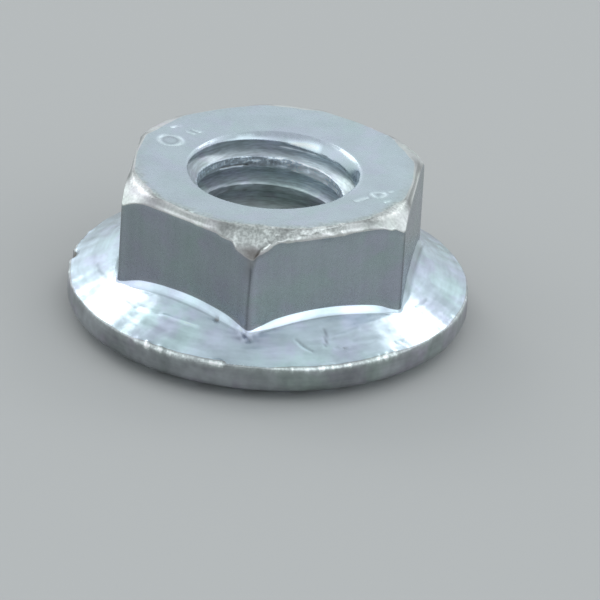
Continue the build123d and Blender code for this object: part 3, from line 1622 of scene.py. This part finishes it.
@dataclass
class Skin:
    """Everything but the thread: the section spun and draped over the hexagon."""

    sizes: NutSizes
    serrations: Serrations
    handling: Handling
    bore: ThreadedBore
    hexagon_crowding: float = 1.25
    corner_wave: Wave = Wave(0.07, 40.0, 7.7)
    rim_wave: Wave = Wave(0.035, 14.0, 1.3)
    rim_ripple: Wave = Wave(0.02, 110.0, 8.3)
    least_drop: float = 0.02
    foot_share: float = 0.3
    foot_span: Span = (0.3, 0.7)
    lift_span: Span = (-0.1, 0.3)
    mouth_rounding: float = 0.02
    circle_roundings: Span = (0.06, 0.22)
    edge_roundings: Span = (0.045, 0.11)
    foot_rounding: float = 0.015
    run_rounding: float = 0.03
    rim_roundings: Span = (0.05, 0.15)
    rim_bottom_rounding: float = 0.22
    step_rounding: float = 0.05
    bearing_rounding: float = 0.04
    bends: tuple[Bend, ...] = BENDS
    mouth_bend: int = 1
    run_bend: int = 5
    first_grooved_bend: int = 7
    lower_mouth_bend: int = 10

    @property
    def columns(self) -> int:
        """Mesh columns in one turn."""
        return self.sizes.serrations * self.serrations.columns_per_tooth

    def places(self, angle: float) -> list[Place]:
        """Give the bends of the section at one angle.

        Args:
            angle: Angle about the thread axis, in radians.

        Returns:
            The bends, from the upper countersink down to the lower one.
        """
        size = self.sizes
        lip = size.mouth_lip
        upper = self.bore.radius(angle, size.mouth_height - lip) + lip / 2
        lower = self.bore.radius(angle, lip) + lip / 2
        hexagon = size.hexagon(angle)
        at_corner = size.cornering(angle, *size.corner_span)
        circle = size.chamfer_circle(angle) + self.corner_wave.at(angle) * at_corner
        drop = max(self.handling.edge_drop(angle), self.least_drop)
        rolled = min(1.0, along(FLAT_BURRS, angle))
        foot = mix(1.0, self.foot_share, size.cornering(angle, *self.foot_span))
        run, rise = foot * size.foot_run, foot * size.foot_rise
        rim_top = size.rim_top + self.rim_wave.at(angle) + self.rim_ripple.at(angle)
        rim_rounding = mix(*self.rim_roundings, min(1.0, along(RIM_BURRS, angle)))
        upper_mouth = max(upper + lip, self.bore.sink(angle, size.mouth_height))
        lower_mouth = max(lower + lip, self.bore.sink(angle, 0.0))
        return [
            Place(upper, size.mouth_height - lip / 2),
            Place(upper_mouth, size.mouth_height, self.mouth_rounding),
            Place(circle, size.height, mix(*self.circle_roundings, at_corner)),
            Place(hexagon, size.height - drop, mix(*self.edge_roundings, rolled)),
            Place(hexagon, size.cone(hexagon) + rise, self.foot_rounding),
            Place(hexagon + run, size.cone(hexagon + run), self.run_rounding),
            Place(size.rim_radius, rim_top, rim_rounding),
            Place(size.rim_radius, size.rim_bottom, self.rim_bottom_rounding),
            Place(size.step_radius, size.serration_step, self.step_rounding),
            Place(size.bearing_radius, 0.0, self.bearing_rounding),
            Place(lower_mouth, 0.0, self.mouth_rounding),
            Place(lower, lip / 2),
        ]

    def column_angle(self, column: int, station: Station) -> float:
        """Return the angle of one grid point.

        Columns crowd towards the hexagon's corners on the hexagon and follow the
        teeth on the bearing face. In between they spread evenly.

        Args:
            column: Column number, counted from the first corner.
            station: Ring of the grid.

        Returns:
            Angle about the thread axis, in radians.
        """
        even = column * TURN / self.columns
        along = 1.0 if station.on_curve else station.share
        hexagon_share, tooth_share = self.column_shares(station, along)
        crowded = self.crowded_angle(column)
        toothed = (column // self.serrations.columns_per_tooth) * self.serrations.pitch
        toothed += self.serrations.column_phase(column)
        turn = even + hexagon_share * (crowded - even) + tooth_share * (toothed - even)
        return math.radians(self.sizes.first_corner) + turn

    def column_shares(self, station: Station, along: float) -> tuple[float, float]:
        """Return how far a ring's columns follow the hexagon and the teeth.

        Args:
            station: Ring of the grid.
            along: Share of the way along the ring's leg, 1 on a curve.

        Returns:
            The two shares, from 0 to 1.
        """
        if station.bend > self.first_grooved_bend:
            leaving = station.bend == self.lower_mouth_bend and not station.on_curve
            return 0.0, 1.0 - along if leaving else 1.0
        if station.bend == self.first_grooved_bend:
            return 0.0, 0.0 if station.on_curve else ease(0.0, 1.0, along)
        if station.bend == self.run_bend:
            return 1.0 if station.on_curve else 1.0 - along, 0.0
        if station.bend == self.mouth_bend:
            return 0.0 if station.on_curve else along, 0.0
        return float(self.mouth_bend < station.bend < self.run_bend), 0.0

    def crowded_angle(self, column: int) -> float:
        """Return a column's angle, crowded towards the nearest hexagon corner.

        Args:
            column: Column number, counted from the first corner.

        Returns:
            Angle from the first corner, in radians.
        """
        side = TURN / HEX_SIDES
        in_sides = column * HEX_SIDES / self.columns
        corner = math.floor(in_sides + 0.5)
        off = 2.0 * (in_sides - corner)
        return side * (corner + math.copysign(abs(off) ** self.hexagon_crowding, off) / 2)

    def build(self, bm: bmesh.types.BMesh, looks: Looks) -> None:
        """Spin the section and drape every ring over the nut's form.

        One tooth's width is spun from the section and then repeated round the axis.

        Args:
            bm: Mesh that gets the skin.
            looks: The mesh's layers.
        """
        stations = stations_of(self.bends)
        start = math.radians(self.sizes.first_corner)
        places = self.places(start)
        others = set(bm.verts)
        row = []
        for number, station in enumerate(stations):
            radius, height = section_point(places, station)
            vert = bm.verts.new(around(radius, start, height))
            vert[looks.ring] = number
            row.append(vert)
        edges = [bm.edges.new(pair) for pair in zip(row, row[1:])]
        width = self.serrations.pitch
        steps = self.serrations.columns_per_tooth
        bmesh.ops.spin(bm, geom=row + edges, angle=width, steps=steps, **AXIS)
        verts = [vert for vert in bm.verts if vert not in others]
        faces = list(dict.fromkeys(face for vert in verts for face in vert.link_faces))
        for face in faces:
            face.material_index = stations[max(vert[looks.ring] for vert in face.verts)].zone.value
        edges = list(dict.fromkeys(edge for vert in verts for edge in vert.link_edges))
        copies = self.sizes.serrations - 1
        bmesh.ops.spin(
            bm, geom=verts + edges + faces, angle=TURN - width, steps=copies, use_duplicate=True, **AXIS
        )
        verts = [vert for vert in bm.verts if vert not in others]
        bmesh.ops.remove_doubles(bm, verts=verts, dist=self.sizes.mouth_lip / steps)
        self.drape([vert for vert in bm.verts if vert not in others], looks, stations)

    def drape(self, verts: list[bmesh.types.BMVert], looks: Looks, stations: list[Station]) -> None:
        """Move each spun vertex to the section of its own angle.

        Args:
            verts: The spun vertices.
            looks: The mesh's layers.
            stations: The section's stations.
        """
        start = math.radians(self.sizes.first_corner)
        for vert in verts:
            station = stations[vert[looks.ring]]
            turn = (math.atan2(vert.co.y, vert.co.x) - start) % TURN
            column = round(turn * self.columns / TURN) % self.columns
            angle = self.column_angle(column, station)
            radius, height = section_point(self.places(angle), station)
            spot = self.handling.spot(station.zone, angle, radius, height)
            looks.write(vert, spot)
            way = math.radians(self.lift_way(station.zone, angle))
            radius += spot.lift * math.cos(way)
            height += spot.lift * math.sin(way)
            if station.bend >= self.first_grooved_bend:
                groove = self.serrations.height(radius, angle) * self.groove_share(station)
                height = max(height, groove)
            vert.co = around(radius, angle, height)

    def lift_way(self, zone: Zone, angle: float) -> float:
        """Return the degrees above level at which a zone's marks stand out.

        Args:
            zone: Stretch of the skin.
            angle: Angle about the axis, in radians.

        Returns:
            Degrees above level.
        """
        if zone is Zone.CHAMFER:
            at_corner = self.sizes.cornering(angle, *self.lift_span)
            return mix(LIFT_WAYS[Zone.FLATS], LIFT_WAYS[zone], at_corner)
        return LIFT_WAYS.get(zone, 0.0)

    def groove_share(self, station: Station) -> float:
        """Return how much of the grooves a station has: none on the lower mouth's lip."""
        return float(station.bend < self.lower_mouth_bend)


# ---------------------------------------------------------------- finishes
class Lay(Enum):
    """Direction of the fine lines that forming left on a face."""

    ROUND = "round"
    UPRIGHT = "upright"
    NONE = "none"


@dataclass(frozen=True)
class PlateFinish:
    """How the zinc plating looks on one stretch of the nut.

    Attributes:
        name: Name of the material.
        colour: Plating's own colour.
        warm_tint: Colour of its greenish film patches.
        cool_tint: Colour of its lilac film patches.
        roughness: Middle value of the gloss.
        spread: How far the roughness swings to either side.
        lay: Direction of the fine lines.
        lines_per_mm: How close the fine lines are.
        line_depth: Height of the lines in millimetres.
        line_shade: How far the lines lighten and darken the colour.
        grain_per_mm: How close the grain is.
        grain_depth: Height of the grain in millimetres.
        patches: How far slow patches lighten and darken the colour.
        metal: Share of bare metal; the rest is matt film.
        torn_per_mm: How close the grain of rubbed or torn places is.
        torn_depth: Height of that grain in millimetres.
        torn_shades: Darkest and lightest brightness of that grain.
        torn_span: Values of the grain's noise at the darkest and the lightest.
        torn_colour: Colour of rubbed or torn places.
    """

    name: str
    colour: Colour
    warm_tint: Colour
    cool_tint: Colour
    roughness: float
    spread: float = 0.04
    lay: Lay = Lay.NONE
    lines_per_mm: float = 8.0
    line_depth: float = 0.001
    line_shade: float = 0.03
    grain_per_mm: float = 7.0
    grain_depth: float = 0.0015
    patches: float = 0.04
    metal: float = 1.0
    torn_per_mm: float = 10.0
    torn_depth: float = 0.005
    torn_shades: Span = (0.74, 1.2)
    torn_span: Span = (0.36, 0.64)
    torn_colour: Colour = (0.66, 0.71, 0.69)


def tinted(colour: Colour, lean: Colour, hue: float) -> Colour:
    """Return a colour whose parts are raised by the shares of a lean."""
    return tuple(part * (1.0 + share * hue) for part, share in zip(colour, lean))


# One zinc plating in lit and shaded copies: the flats and the rim are painted darker as painted shade, and
# the thread is painted lighter as painted light.
TOP_PLATE = (0.53, 0.61, 0.655)
FLANGE_PLATE = (0.60, 0.705, 0.775)
FLAT_PLATE_SHADED = (0.385, 0.44, 0.475)
RIM_PLATE_SHADED = (0.33, 0.35, 0.365)
BORE_PLATE_LIT = (0.68, 0.765, 0.81)
CHAMFER_PLATE = (0.69, 0.70, 0.69)
TORN_THREAD = (0.62, 0.71, 0.80)
FRINGE = (0.51, 0.56, 0.53)
TORN_CHAMFER = (0.58, 0.61, 0.59)
RUBBED_ROUGHNESS = 0.42
DIRT = (0.17, 0.14, 0.10)
DIRT_ROUGHNESS = 0.7
WARM_LEAN = (-1.0, 0.3, -0.9)
COOL_LEAN = (0.6, -0.7, 0.7)


class Cloud(NamedTuple):
    """A noise: features per unit, octaves of finer noise and a shift that picks the pattern."""

    scale: float
    octaves: float = 3.0
    shift: float = 0.0


GREENISH_CLOUD = Cloud(0.55, 2.0, 7.0)
GREENISH_SPAN = (0.45, 0.7)
LILAC_CLOUD = Cloud(0.8, 3.0, 21.0)
LILAC_SPAN = (0.45, 0.68)
BROAD_CLOUD = Cloud(0.7, 4.0, 3.0)
TONE_SPAN = (0.25, 0.75)
GRAIN_TONE = 0.02
GRAIN_OCTAVES = 4.0
GRAIN_SPAN = (0.3, 0.7)
LINE_CLOUD = Cloud(1.0, 2.0)
LINE_STRETCHES = {Lay.UPRIGHT: 0.06, Lay.ROUND: 0.5}
TORN_OCTAVES = 2.0
TORN_SHIFT = 13.0
NOISE_ROUGHNESS = 0.55


def plate(name: str, colour: Colour, roughness: float, hue: float = 0.05, **more: object) -> PlateFinish:
    """Return a finish whose film patches lean to green and to lilac.

    Args:
        name: Name of the material.
        colour: Plating's own colour.
        roughness: Middle value of the gloss.
        hue: How far the patches leave the colour.
        **more: Other values of the finish.

    Returns:
        The finish.
    """
    warm, cool = tinted(colour, WARM_LEAN, hue), tinted(colour, COOL_LEAN, hue)
    return PlateFinish(name, colour, warm, cool, roughness, **more)


FINISHES: dict[Zone, PlateFinish] = {
    Zone.TOP: plate(
        "plate_top_face", TOP_PLATE, 0.28, hue=0.035, grain_depth=0.0004, patches=0.05,
        torn_shades=(0.7, 1.22), torn_colour=FRINGE,
    ),
    Zone.CHAMFER: plate(
        "plate_chamfer", CHAMFER_PLATE, 0.36, grain_depth=0.003, patches=0.08,
        torn_per_mm=11.0, torn_depth=0.006, torn_shades=(0.72, 1.2), torn_colour=TORN_CHAMFER,
    ),
    Zone.FLATS: plate(
        "plate_wrench_flats", FLAT_PLATE_SHADED, 0.28, lay=Lay.UPRIGHT,
        lines_per_mm=4.0, line_shade=0.025, grain_depth=0.0005,
    ),
    Zone.FLANGE: plate(
        "plate_flange", FLANGE_PLATE, 0.22, hue=0.055, lay=Lay.ROUND,
        lines_per_mm=6.0, line_depth=0.003, line_shade=0.13, patches=0.15,
    ),
    Zone.RIM: plate("plate_rim", RIM_PLATE_SHADED, 0.34, hue=0.07, lay=Lay.ROUND, line_shade=0.05, patches=0.25),
    Zone.UNDERSIDE: plate("plate_bearing_face", TOP_PLATE, 0.3),
    Zone.BORE: plate(
        "plate_thread", BORE_PLATE_LIT, 0.33, lay=Lay.ROUND,
        lines_per_mm=13.0, line_shade=0.22, line_depth=0.003, metal=0.65, torn_per_mm=7.0,
        torn_depth=0.02, torn_shades=(0.75, 1.7), torn_span=(0.46, 0.68), torn_colour=TORN_THREAD,
    ),
}


class NodeBoard:
    """A node tree, with one short call for each kind of node."""

    MIX_NUMBERS = (2, 3)
    MIX_COLOURS = (6, 7)
    MIX_COLOUR_OUT = 2

    def __init__(self, tree: bpy.types.NodeTree) -> None:
        """Start with an empty tree.

        Args:
            tree: Node tree of a material or a world.
        """
        self.tree = tree
        tree.nodes.clear()

    def node(self, kind: str, inputs: dict[str, object] | None = None, **settings: object) -> bpy.types.Node:
        """Add a node.

        Args:
            kind: Blender's type name, without its ShaderNode prefix.
            inputs: Values or output sockets for the node's inputs, by name or number.
            **settings: Properties of the node.

        Returns:
            The new node.
        """
        made = self.tree.nodes.new("ShaderNode" + kind)
        for key, value in settings.items():
            setattr(made, key, value)
        for key, value in (inputs or {}).items():
            self.feed(made.inputs[key], value)
        return made

    def feed(self, socket: bpy.types.NodeSocket, value: object) -> None:
        """Link a socket to an output, or set its own value.

        Args:
            socket: The input socket.
            value: An output socket or a plain value.
        """
        if isinstance(value, bpy.types.NodeSocket):
            self.tree.links.new(value, socket)
        else:
            socket.default_value = value

    def sum(self, operation: str, first: object, second: object = 0.0) -> bpy.types.NodeSocket:
        """Return the result of a Math node."""
        return self.node("Math", {0: first, 1: second}, operation=operation).outputs[0]

    def layer(self, name: str) -> bpy.types.NodeSocket:
        """Return one of the mesh's point layers."""
        return self.node("Attribute", attribute_name=name).outputs["Fac"]

    def blend(self, share: object, first: object, second: object) -> bpy.types.NodeSocket:
        """Return a colour a share of the way from the first to the second.

        Args:
            share: Number or socket from 0 to 1.
            first: Colour at 0.
            second: Colour at 1.

        Returns:
            The mixed colour's socket.
        """
        made = self.node("Mix", data_type="RGBA")
        for number, given in zip((0, *self.MIX_COLOURS), (share, first, second)):
            self.feed(made.inputs[number], given)
        return made.outputs[self.MIX_COLOUR_OUT]

    def between(self, share: object, first: object, second: object) -> bpy.types.NodeSocket:
        """Return a number a share of the way from the first to the second.

        Args:
            share: Number or socket from 0 to 1.
            first: Number or socket at 0.
            second: Number or socket at 1.

        Returns:
            The mixed number's socket.
        """
        low, high = self.MIX_NUMBERS
        return self.node("Mix", {0: share, low: first, high: second}).outputs[0]

    def scaled(self, vector: object, factor: object) -> bpy.types.NodeSocket:
        """Return a vector or colour made longer or brighter by a factor."""
        return self.node("VectorMath", {0: vector, "Scale": factor}, operation="SCALE").outputs[0]

    def span(self, value: object, given_span: Span, made_span: Span) -> bpy.types.NodeSocket:
        """Return a value carried from one range to another, smooth and clamped.

        Args:
            value: The value's socket.
            given_span: Its range.
            made_span: Results at the start and the end of its range.

        Returns:
            The result's socket.
        """
        made = self.node("MapRange", interpolation_type="SMOOTHSTEP")
        for number, given in enumerate((value, *given_span, *made_span)):
            self.feed(made.inputs[number], given)
        return made.outputs[0]

    def noise(self, place: object, cloud: Cloud) -> bpy.types.NodeSocket:
        """Return a noise value from 0 to 1.

        Args:
            place: Vector socket that the noise follows.
            cloud: The noise, in units of that vector.

        Returns:
            The noise's socket.
        """
        if cloud.shift:
            shift = (cloud.shift, -cloud.shift, cloud.shift)
            place = self.node("VectorMath", {0: place, 1: shift}).outputs[0]
        inputs = {"Vector": place, "Scale": cloud.scale, "Detail": cloud.octaves}
        inputs["Roughness"] = NOISE_ROUGHNESS
        return self.node("TexNoise", inputs).outputs["Fac"]

    def dot(self, first: object, second: object) -> bpy.types.NodeSocket:
        """Return how far two directions agree: 1 if they are the same, 0 at a right angle."""
        inputs = {0: first, 1: second}
        return self.node("VectorMath", inputs, operation="DOT_PRODUCT").outputs["Value"]


def opaque(colour: Colour) -> tuple[float, float, float, float]:
    """Return a colour with full opacity."""
    return (*colour, 1.0)


@dataclass
class PlateMaterial:
    """Builds the material of one finish."""

    finish: PlateFinish

    def build(self) -> bpy.types.Material:
        """Make the plated metal.

        Returns:
            The finished material.
        """
        finish = self.finish
        material = bpy.data.materials.new(finish.name)
        material.use_nodes = True
        board = NodeBoard(material.node_tree)
        place = self.place(board)
        grain = board.noise(place, Cloud(finish.grain_per_mm, GRAIN_OCTAVES))
        lines = board.noise(self.lay_place(board, place), LINE_CLOUD)
        wear, grime = board.layer("wear"), board.layer("grime")
        gloss = (finish.roughness - finish.spread, finish.roughness + finish.spread)
        roughness = board.span(grain, GRAIN_SPAN, gloss)
        roughness = board.between(wear, roughness, RUBBED_ROUGHNESS)
        roughness = board.between(grime, roughness, DIRT_ROUGHNESS)
        colour = self.colour(board, place, grain, lines)
        shader = board.node(
            "BsdfPrincipled",
            {"Base Color": colour, "Metallic": finish.metal, "Roughness": roughness},
        )
        torn = board.sum("MULTIPLY", self.torn(board, place), finish.torn_depth)
        height = board.between(wear, board.sum("MULTIPLY", grain, finish.grain_depth), torn)
        if finish.lay is not Lay.NONE:
            height = board.sum("ADD", height, board.sum("MULTIPLY", lines, finish.line_depth))
        bump = board.node("Bump", {"Strength": 1.0, "Distance": MM, "Height": height})
        board.feed(shader.inputs["Normal"], bump.outputs[0])
        output = board.node("OutputMaterial")
        board.feed(output.inputs["Surface"], shader.outputs[0])
        return material

    def colour(
        self,
        board: NodeBoard,
        place: bpy.types.NodeSocket,
        grain: bpy.types.NodeSocket,
        lines: bpy.types.NodeSocket,
    ) -> bpy.types.NodeSocket:
        """Mix the plating's colour, its film patches, its wear and its dirt.

        Args:
            board: The material's node board.
            place: Point on the nut in millimetres.
            grain: Fine grain, 0 to 1.
            lines: Fine lines of the lay, 0 to 1.

        Returns:
            The colour's socket.
        """
        finish = self.finish
        greenish = board.span(board.noise(place, GREENISH_CLOUD), GREENISH_SPAN, (0.0, 1.0))
        lilac = board.span(board.noise(place, LILAC_CLOUD), LILAC_SPAN, (0.0, 1.0))
        colour = board.blend(greenish, opaque(finish.colour), opaque(finish.warm_tint))
        colour = board.blend(lilac, colour, opaque(finish.cool_tint))
        broad = board.noise(place, BROAD_CLOUD)
        tone = board.span(broad, TONE_SPAN, (1.0 - finish.patches, 1.0 + finish.patches))
        tone = board.sum("ADD", tone, board.span(grain, TONE_SPAN, (-GRAIN_TONE, GRAIN_TONE)))
        if finish.lay is not Lay.NONE:
            shade = board.span(lines, TONE_SPAN, (-finish.line_shade, finish.line_shade))
            tone = board.sum("ADD", tone, shade)
        torn = board.span(self.torn(board, place), finish.torn_span, finish.torn_shades)
        rubbed = board.scaled(finish.torn_colour, torn)
        colour = board.blend(board.layer("wear"), colour, rubbed)
        # The shade layer brightens or darkens the colour: painted light and shade, and some random tone.
        shade = board.sum("ADD", board.layer("shade"), 1.0)
        colour = board.scaled(colour, board.sum("MULTIPLY", tone, shade))
        return board.blend(board.layer("grime"), colour, opaque(DIRT))

    def torn(self, board: NodeBoard, place: bpy.types.NodeSocket) -> bpy.types.NodeSocket:
        """Return the coarse grain of rubbed and torn places, 0 to 1."""
        return board.noise(place, Cloud(self.finish.torn_per_mm, TORN_OCTAVES, TORN_SHIFT))

    @staticmethod
    def place(board: NodeBoard) -> bpy.types.NodeSocket:
        """Return the point on the nut in millimetres.

        Args:
            board: The material's node board.

        Returns:
            The point's socket.
        """
        coordinates = board.node("TexCoord")
        mapping = board.node("Mapping", {"Vector": coordinates.outputs["Object"], "Scale": (1.0 / MM,) * 3})
        return mapping.outputs[0]

    def lay_place(self, board: NodeBoard, place: bpy.types.NodeSocket) -> bpy.types.NodeSocket:
        """Return a vector that changes fast across the lay and slowly along it.

        Args:
            board: The material's node board.
            place: Point on the nut in millimetres.

        Returns:
            The vector's socket.
        """
        close = self.finish.lines_per_mm
        if self.finish.lay is Lay.UPRIGHT:
            scale = (close, close, close * LINE_STRETCHES[Lay.UPRIGHT])
            return board.node("Mapping", {"Vector": place, "Scale": scale}).outputs[0]
        flat = board.node("VectorMath", {0: place, 1: (1.0, 1.0, 0.0)}, operation="MULTIPLY").outputs[0]
        length = board.node("VectorMath", {0: flat}, operation="LENGTH").outputs["Value"]
        heading = board.node("VectorMath", {0: flat}, operation="NORMALIZE").outputs[0]
        parts = board.node("SeparateXYZ", {0: heading})
        height = board.node("SeparateXYZ", {0: place}).outputs[2]
        across = board.sum("MULTIPLY", board.sum("ADD", length, height), close)
        slow = close * LINE_STRETCHES[Lay.ROUND]
        east, north = (board.sum("MULTIPLY", parts.outputs[axis], slow) for axis in (0, 1))
        return board.node("CombineXYZ", {0: across, 1: east, 2: north}).outputs[0]


# ---------------------------------------------------------------- flange nut
@dataclass
class FlangeNut:
    """The whole nut as one closed mesh."""

    sizes: NutSizes
    sharp_angle: float = 38.0

    def build(self) -> bpy.types.Object:
        """Make the nut's mesh, dress it and put it on the frame.

        Returns:
            The nut's object.
        """
        bm = bmesh.new()
        looks = Looks(bm)
        bore = ThreadedBore(self.sizes)
        bore.build(bm, looks)
        LOG.info("bore: %d vertices", len(bm.verts))
        Skin(self.sizes, Serrations(self.sizes), Handling(self.sizes), bore).build(bm, looks)
        LOG.info("bore and skin: %d vertices", len(bm.verts))
        self.close(bm)
        bmesh.ops.recalc_face_normals(bm, faces=bm.faces[:])
        if bm.calc_volume(signed=True) < 0.0:
            bmesh.ops.reverse_faces(bm, faces=bm.faces[:])
        for face in bm.faces:
            face.smooth = True
        for edge in bm.edges:
            edge.smooth = edge.calc_face_angle(0.0) < math.radians(self.sharp_angle)
        bmesh.ops.scale(bm, vec=(MM, MM, MM), verts=bm.verts[:])
        mesh = bpy.data.meshes.new("nut")
        bm.to_mesh(mesh)
        bm.free()
        nut = bpy.data.objects.new("nut", mesh)
        bpy.context.scene.collection.objects.link(nut)
        for zone in Zone:
            mesh.materials.append(PlateMaterial(FINISHES[zone]).build())
        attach(nut, "root")
        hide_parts("flange_nut")
        LOG.info("nut: %d vertices, %d faces", len(mesh.vertices), len(mesh.polygons))
        return nut

    def close(self, bm: bmesh.types.BMesh) -> None:
        """Join the bore to the skin at both mouths.

        Args:
            bm: Mesh that holds both.
        """
        middle = self.sizes.height / 2
        open_edges = [edge for edge in bm.edges if edge.is_boundary]
        for upper in (True, False):
            loops = [edge for edge in open_edges if (edge.verts[0].co.z > middle) == upper]
            made = bmesh.ops.bridge_loops(bm, edges=loops)
            for face in made["faces"]:
                face.material_index = Zone.TOP.value


# ---------------------------------------------------------------- studio
@dataclass(frozen=True)
class Heading:
    """A direction from the nut, told as the camera sees it.

    Attributes:
        right: Degrees to the right of straight behind the nut.
        up: Degrees above the floor.
    """

    right: float
    up: float

    def vector(self, camera_azimuth: float) -> Vector:
        """Return the direction as a vector of length 1.

        Args:
            camera_azimuth: Degrees from -Y to the camera, seen from the nut.

        Returns:
            The direction.
        """
        angle = math.radians(90.0 + camera_azimuth - self.right)
        up = math.radians(self.up)
        return around(math.cos(up), angle, math.sin(up))


@dataclass(frozen=True)
class SoftBox:
    """A soft lamp: where it hangs, the degrees it fills and how bright its face is."""

    name: str
    heading: Heading
    spread: float
    radiance: float


@dataclass(frozen=True)
class Glow:
    """A soft brightening of the surroundings around one direction."""

    heading: Heading
    spread: float
    strength: float


@dataclass
class Studio:
    """Pale floor, soft surroundings and two soft lamps behind the nut."""

    camera_azimuth: float
    floor_colour: Colour = (0.50, 0.50, 0.49)
    floor_roughness: float = 0.9
    floor_gloss: float = 0.1
    floor_size: float = 6.0
    sky_colour: Colour = (0.69, 0.735, 0.765)
    zenith: float = 0.9
    zenith_span: Span = (0.5, 1.0)
    front: float = 0.6
    front_span: Span = (0.05, 0.75)
    lamp_distance: float = 0.6
    lamps: tuple[SoftBox, ...] = (
        SoftBox("lamp_left", Heading(-40.0, 38.0), 19.0, 2.2),
        SoftBox("lamp_right", Heading(43.0, 43.0), 13.5, 2.4),
    )
    glows: tuple[Glow, ...] = (
        Glow(Heading(-38.0, 28.0), 42.0, 0.42),
        Glow(Heading(42.0, 40.0), 38.0, 0.34),
        Glow(Heading(128.0, 34.0), 38.0, 1.25),
        Glow(Heading(180.0, 40.0), 36.0, 0.8),
        Glow(Heading(-104.0, 30.0), 40.0, 0.5),
    )

    def build(self) -> None:
        """Make the floor, the surroundings and the lamps."""
        self.build_floor()
        self.build_sky()
        for lamp in self.lamps:
            self.build_lamp(lamp)

    def build_floor(self) -> None:
        """Lay a plain floor under the nut."""
        bm = bmesh.new()
        bmesh.ops.create_grid(bm, x_segments=1, y_segments=1, size=self.floor_size / 2)
        mesh = bpy.data.meshes.new("floor")
        bm.to_mesh(mesh)
        bm.free()
        floor = bpy.data.objects.new("floor", mesh)
        bpy.context.scene.collection.objects.link(floor)
        card = bpy.data.materials.new("floor_card")
        card.use_nodes = True
        board = NodeBoard(card.node_tree)
        looks = {"Base Color": opaque(self.floor_colour), "Roughness": self.floor_roughness}
        looks["Specular IOR Level"] = self.floor_gloss
        shader = board.node("BsdfPrincipled", looks)
        output = board.node("OutputMaterial")
        board.feed(output.inputs["Surface"], shader.outputs[0])
        mesh.materials.append(card)

    def build_sky(self) -> None:
        """Surround the nut with soft, slightly cool light."""
        world = bpy.data.worlds.new("surroundings")
        world.use_nodes = True
        board = NodeBoard(world.node_tree)
        direction = board.node("TexCoord").outputs["Generated"]
        up = board.node("SeparateXYZ", {0: direction}).outputs[2]
        level = board.span(up, self.zenith_span, (1.0, self.zenith))
        facing = board.dot(direction, Heading(180.0, 0.0).vector(self.camera_azimuth))
        level = board.sum("MULTIPLY", level, board.span(facing, self.front_span, (1.0, self.front)))
        for glow in self.glows:
            near = board.dot(direction, glow.heading.vector(self.camera_azimuth))
            edge = math.cos(math.radians(glow.spread))
            level = board.sum("ADD", level, board.span(near, (edge, 1.0), (0.0, glow.strength)))
        light = board.node("Background", {"Color": board.scaled(self.sky_colour, level), "Strength": 1.0})
        output = board.node("OutputWorld")
        board.feed(output.inputs["Surface"], light.outputs[0])
        bpy.context.scene.world = world

    def build_lamp(self, lamp: SoftBox) -> None:
        """Hang one soft lamp, facing the nut.

        Args:
            lamp: Its place, size and brightness.
        """
        side = 2.0 * self.lamp_distance * math.tan(math.radians(lamp.spread / 2))
        light = bpy.data.lights.new(lamp.name, "AREA")
        light.shape = "SQUARE"
        light.size = side
        light.energy = lamp.radiance * math.pi * side * side
        place = lamp.heading.vector(self.camera_azimuth) * self.lamp_distance
        holder = bpy.data.objects.new(lamp.name, light)
        holder.location = place
        holder.rotation_euler = (-place).to_track_quat("-Z", "Y").to_euler()
        bpy.context.scene.collection.objects.link(holder)


@dataclass
class Viewpoint:
    """Camera, set by its angles and by where one point of the nut lies in the picture."""

    azimuth: float = 5.782
    elevation: float = 26.62
    roll: float = 3.418
    distance: float = 397.0
    picture: float = 600.0
    pixels_per_mm: float = 28.513
    aim_height: float = 4.434
    aim_pixel: Span = (272.925, 199.231)
    sensor: float = 36.0
    near_clip: float = 0.01

    def build(self) -> bpy.types.Object:
        """Make the camera and set it as the scene's own.

        Returns:
            The camera's object.
        """
        azimuth, elevation = math.radians(self.azimuth), math.radians(self.elevation)
        level = Vector((math.cos(azimuth), math.sin(azimuth), 0.0))
        back = around(math.cos(elevation), azimuth - math.pi / 2, math.sin(elevation))
        tilt = Matrix.Rotation(math.radians(self.roll), 3, back)
        right = tilt @ level
        upward = back.cross(right)
        across = (self.picture / 2 - self.aim_pixel[0]) / self.pixels_per_mm
        down = (self.picture / 2 - self.aim_pixel[1]) / self.pixels_per_mm
        place = Vector((0.0, 0.0, self.aim_height)) + back * self.distance + right * across - upward * down
        camera = bpy.data.cameras.new("camera")
        camera.sensor_width = self.sensor
        camera.lens = self.pixels_per_mm * self.distance / self.picture * self.sensor
        camera.clip_start = self.near_clip
        holder = bpy.data.objects.new("camera", camera)
        turn = Matrix((right, upward, back)).transposed().to_4x4()
        holder.matrix_world = Matrix.Translation(place * MM) @ turn
        bpy.context.scene.collection.objects.link(holder)
        bpy.context.scene.camera = holder
        return holder


def main() -> None:
    """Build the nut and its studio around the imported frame."""
    logging.basicConfig(level=logging.INFO, format="%(name)s: %(message)s")
    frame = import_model()
    viewpoint = Viewpoint()
    viewpoint.build()
    Studio(camera_azimuth=viewpoint.azimuth).build()
    FlangeNut(NutSizes.from_frame(frame["record"])).build()
    bpy.context.scene.view_settings.view_transform = "Standard"


if __name__ == "__main__":
    main()
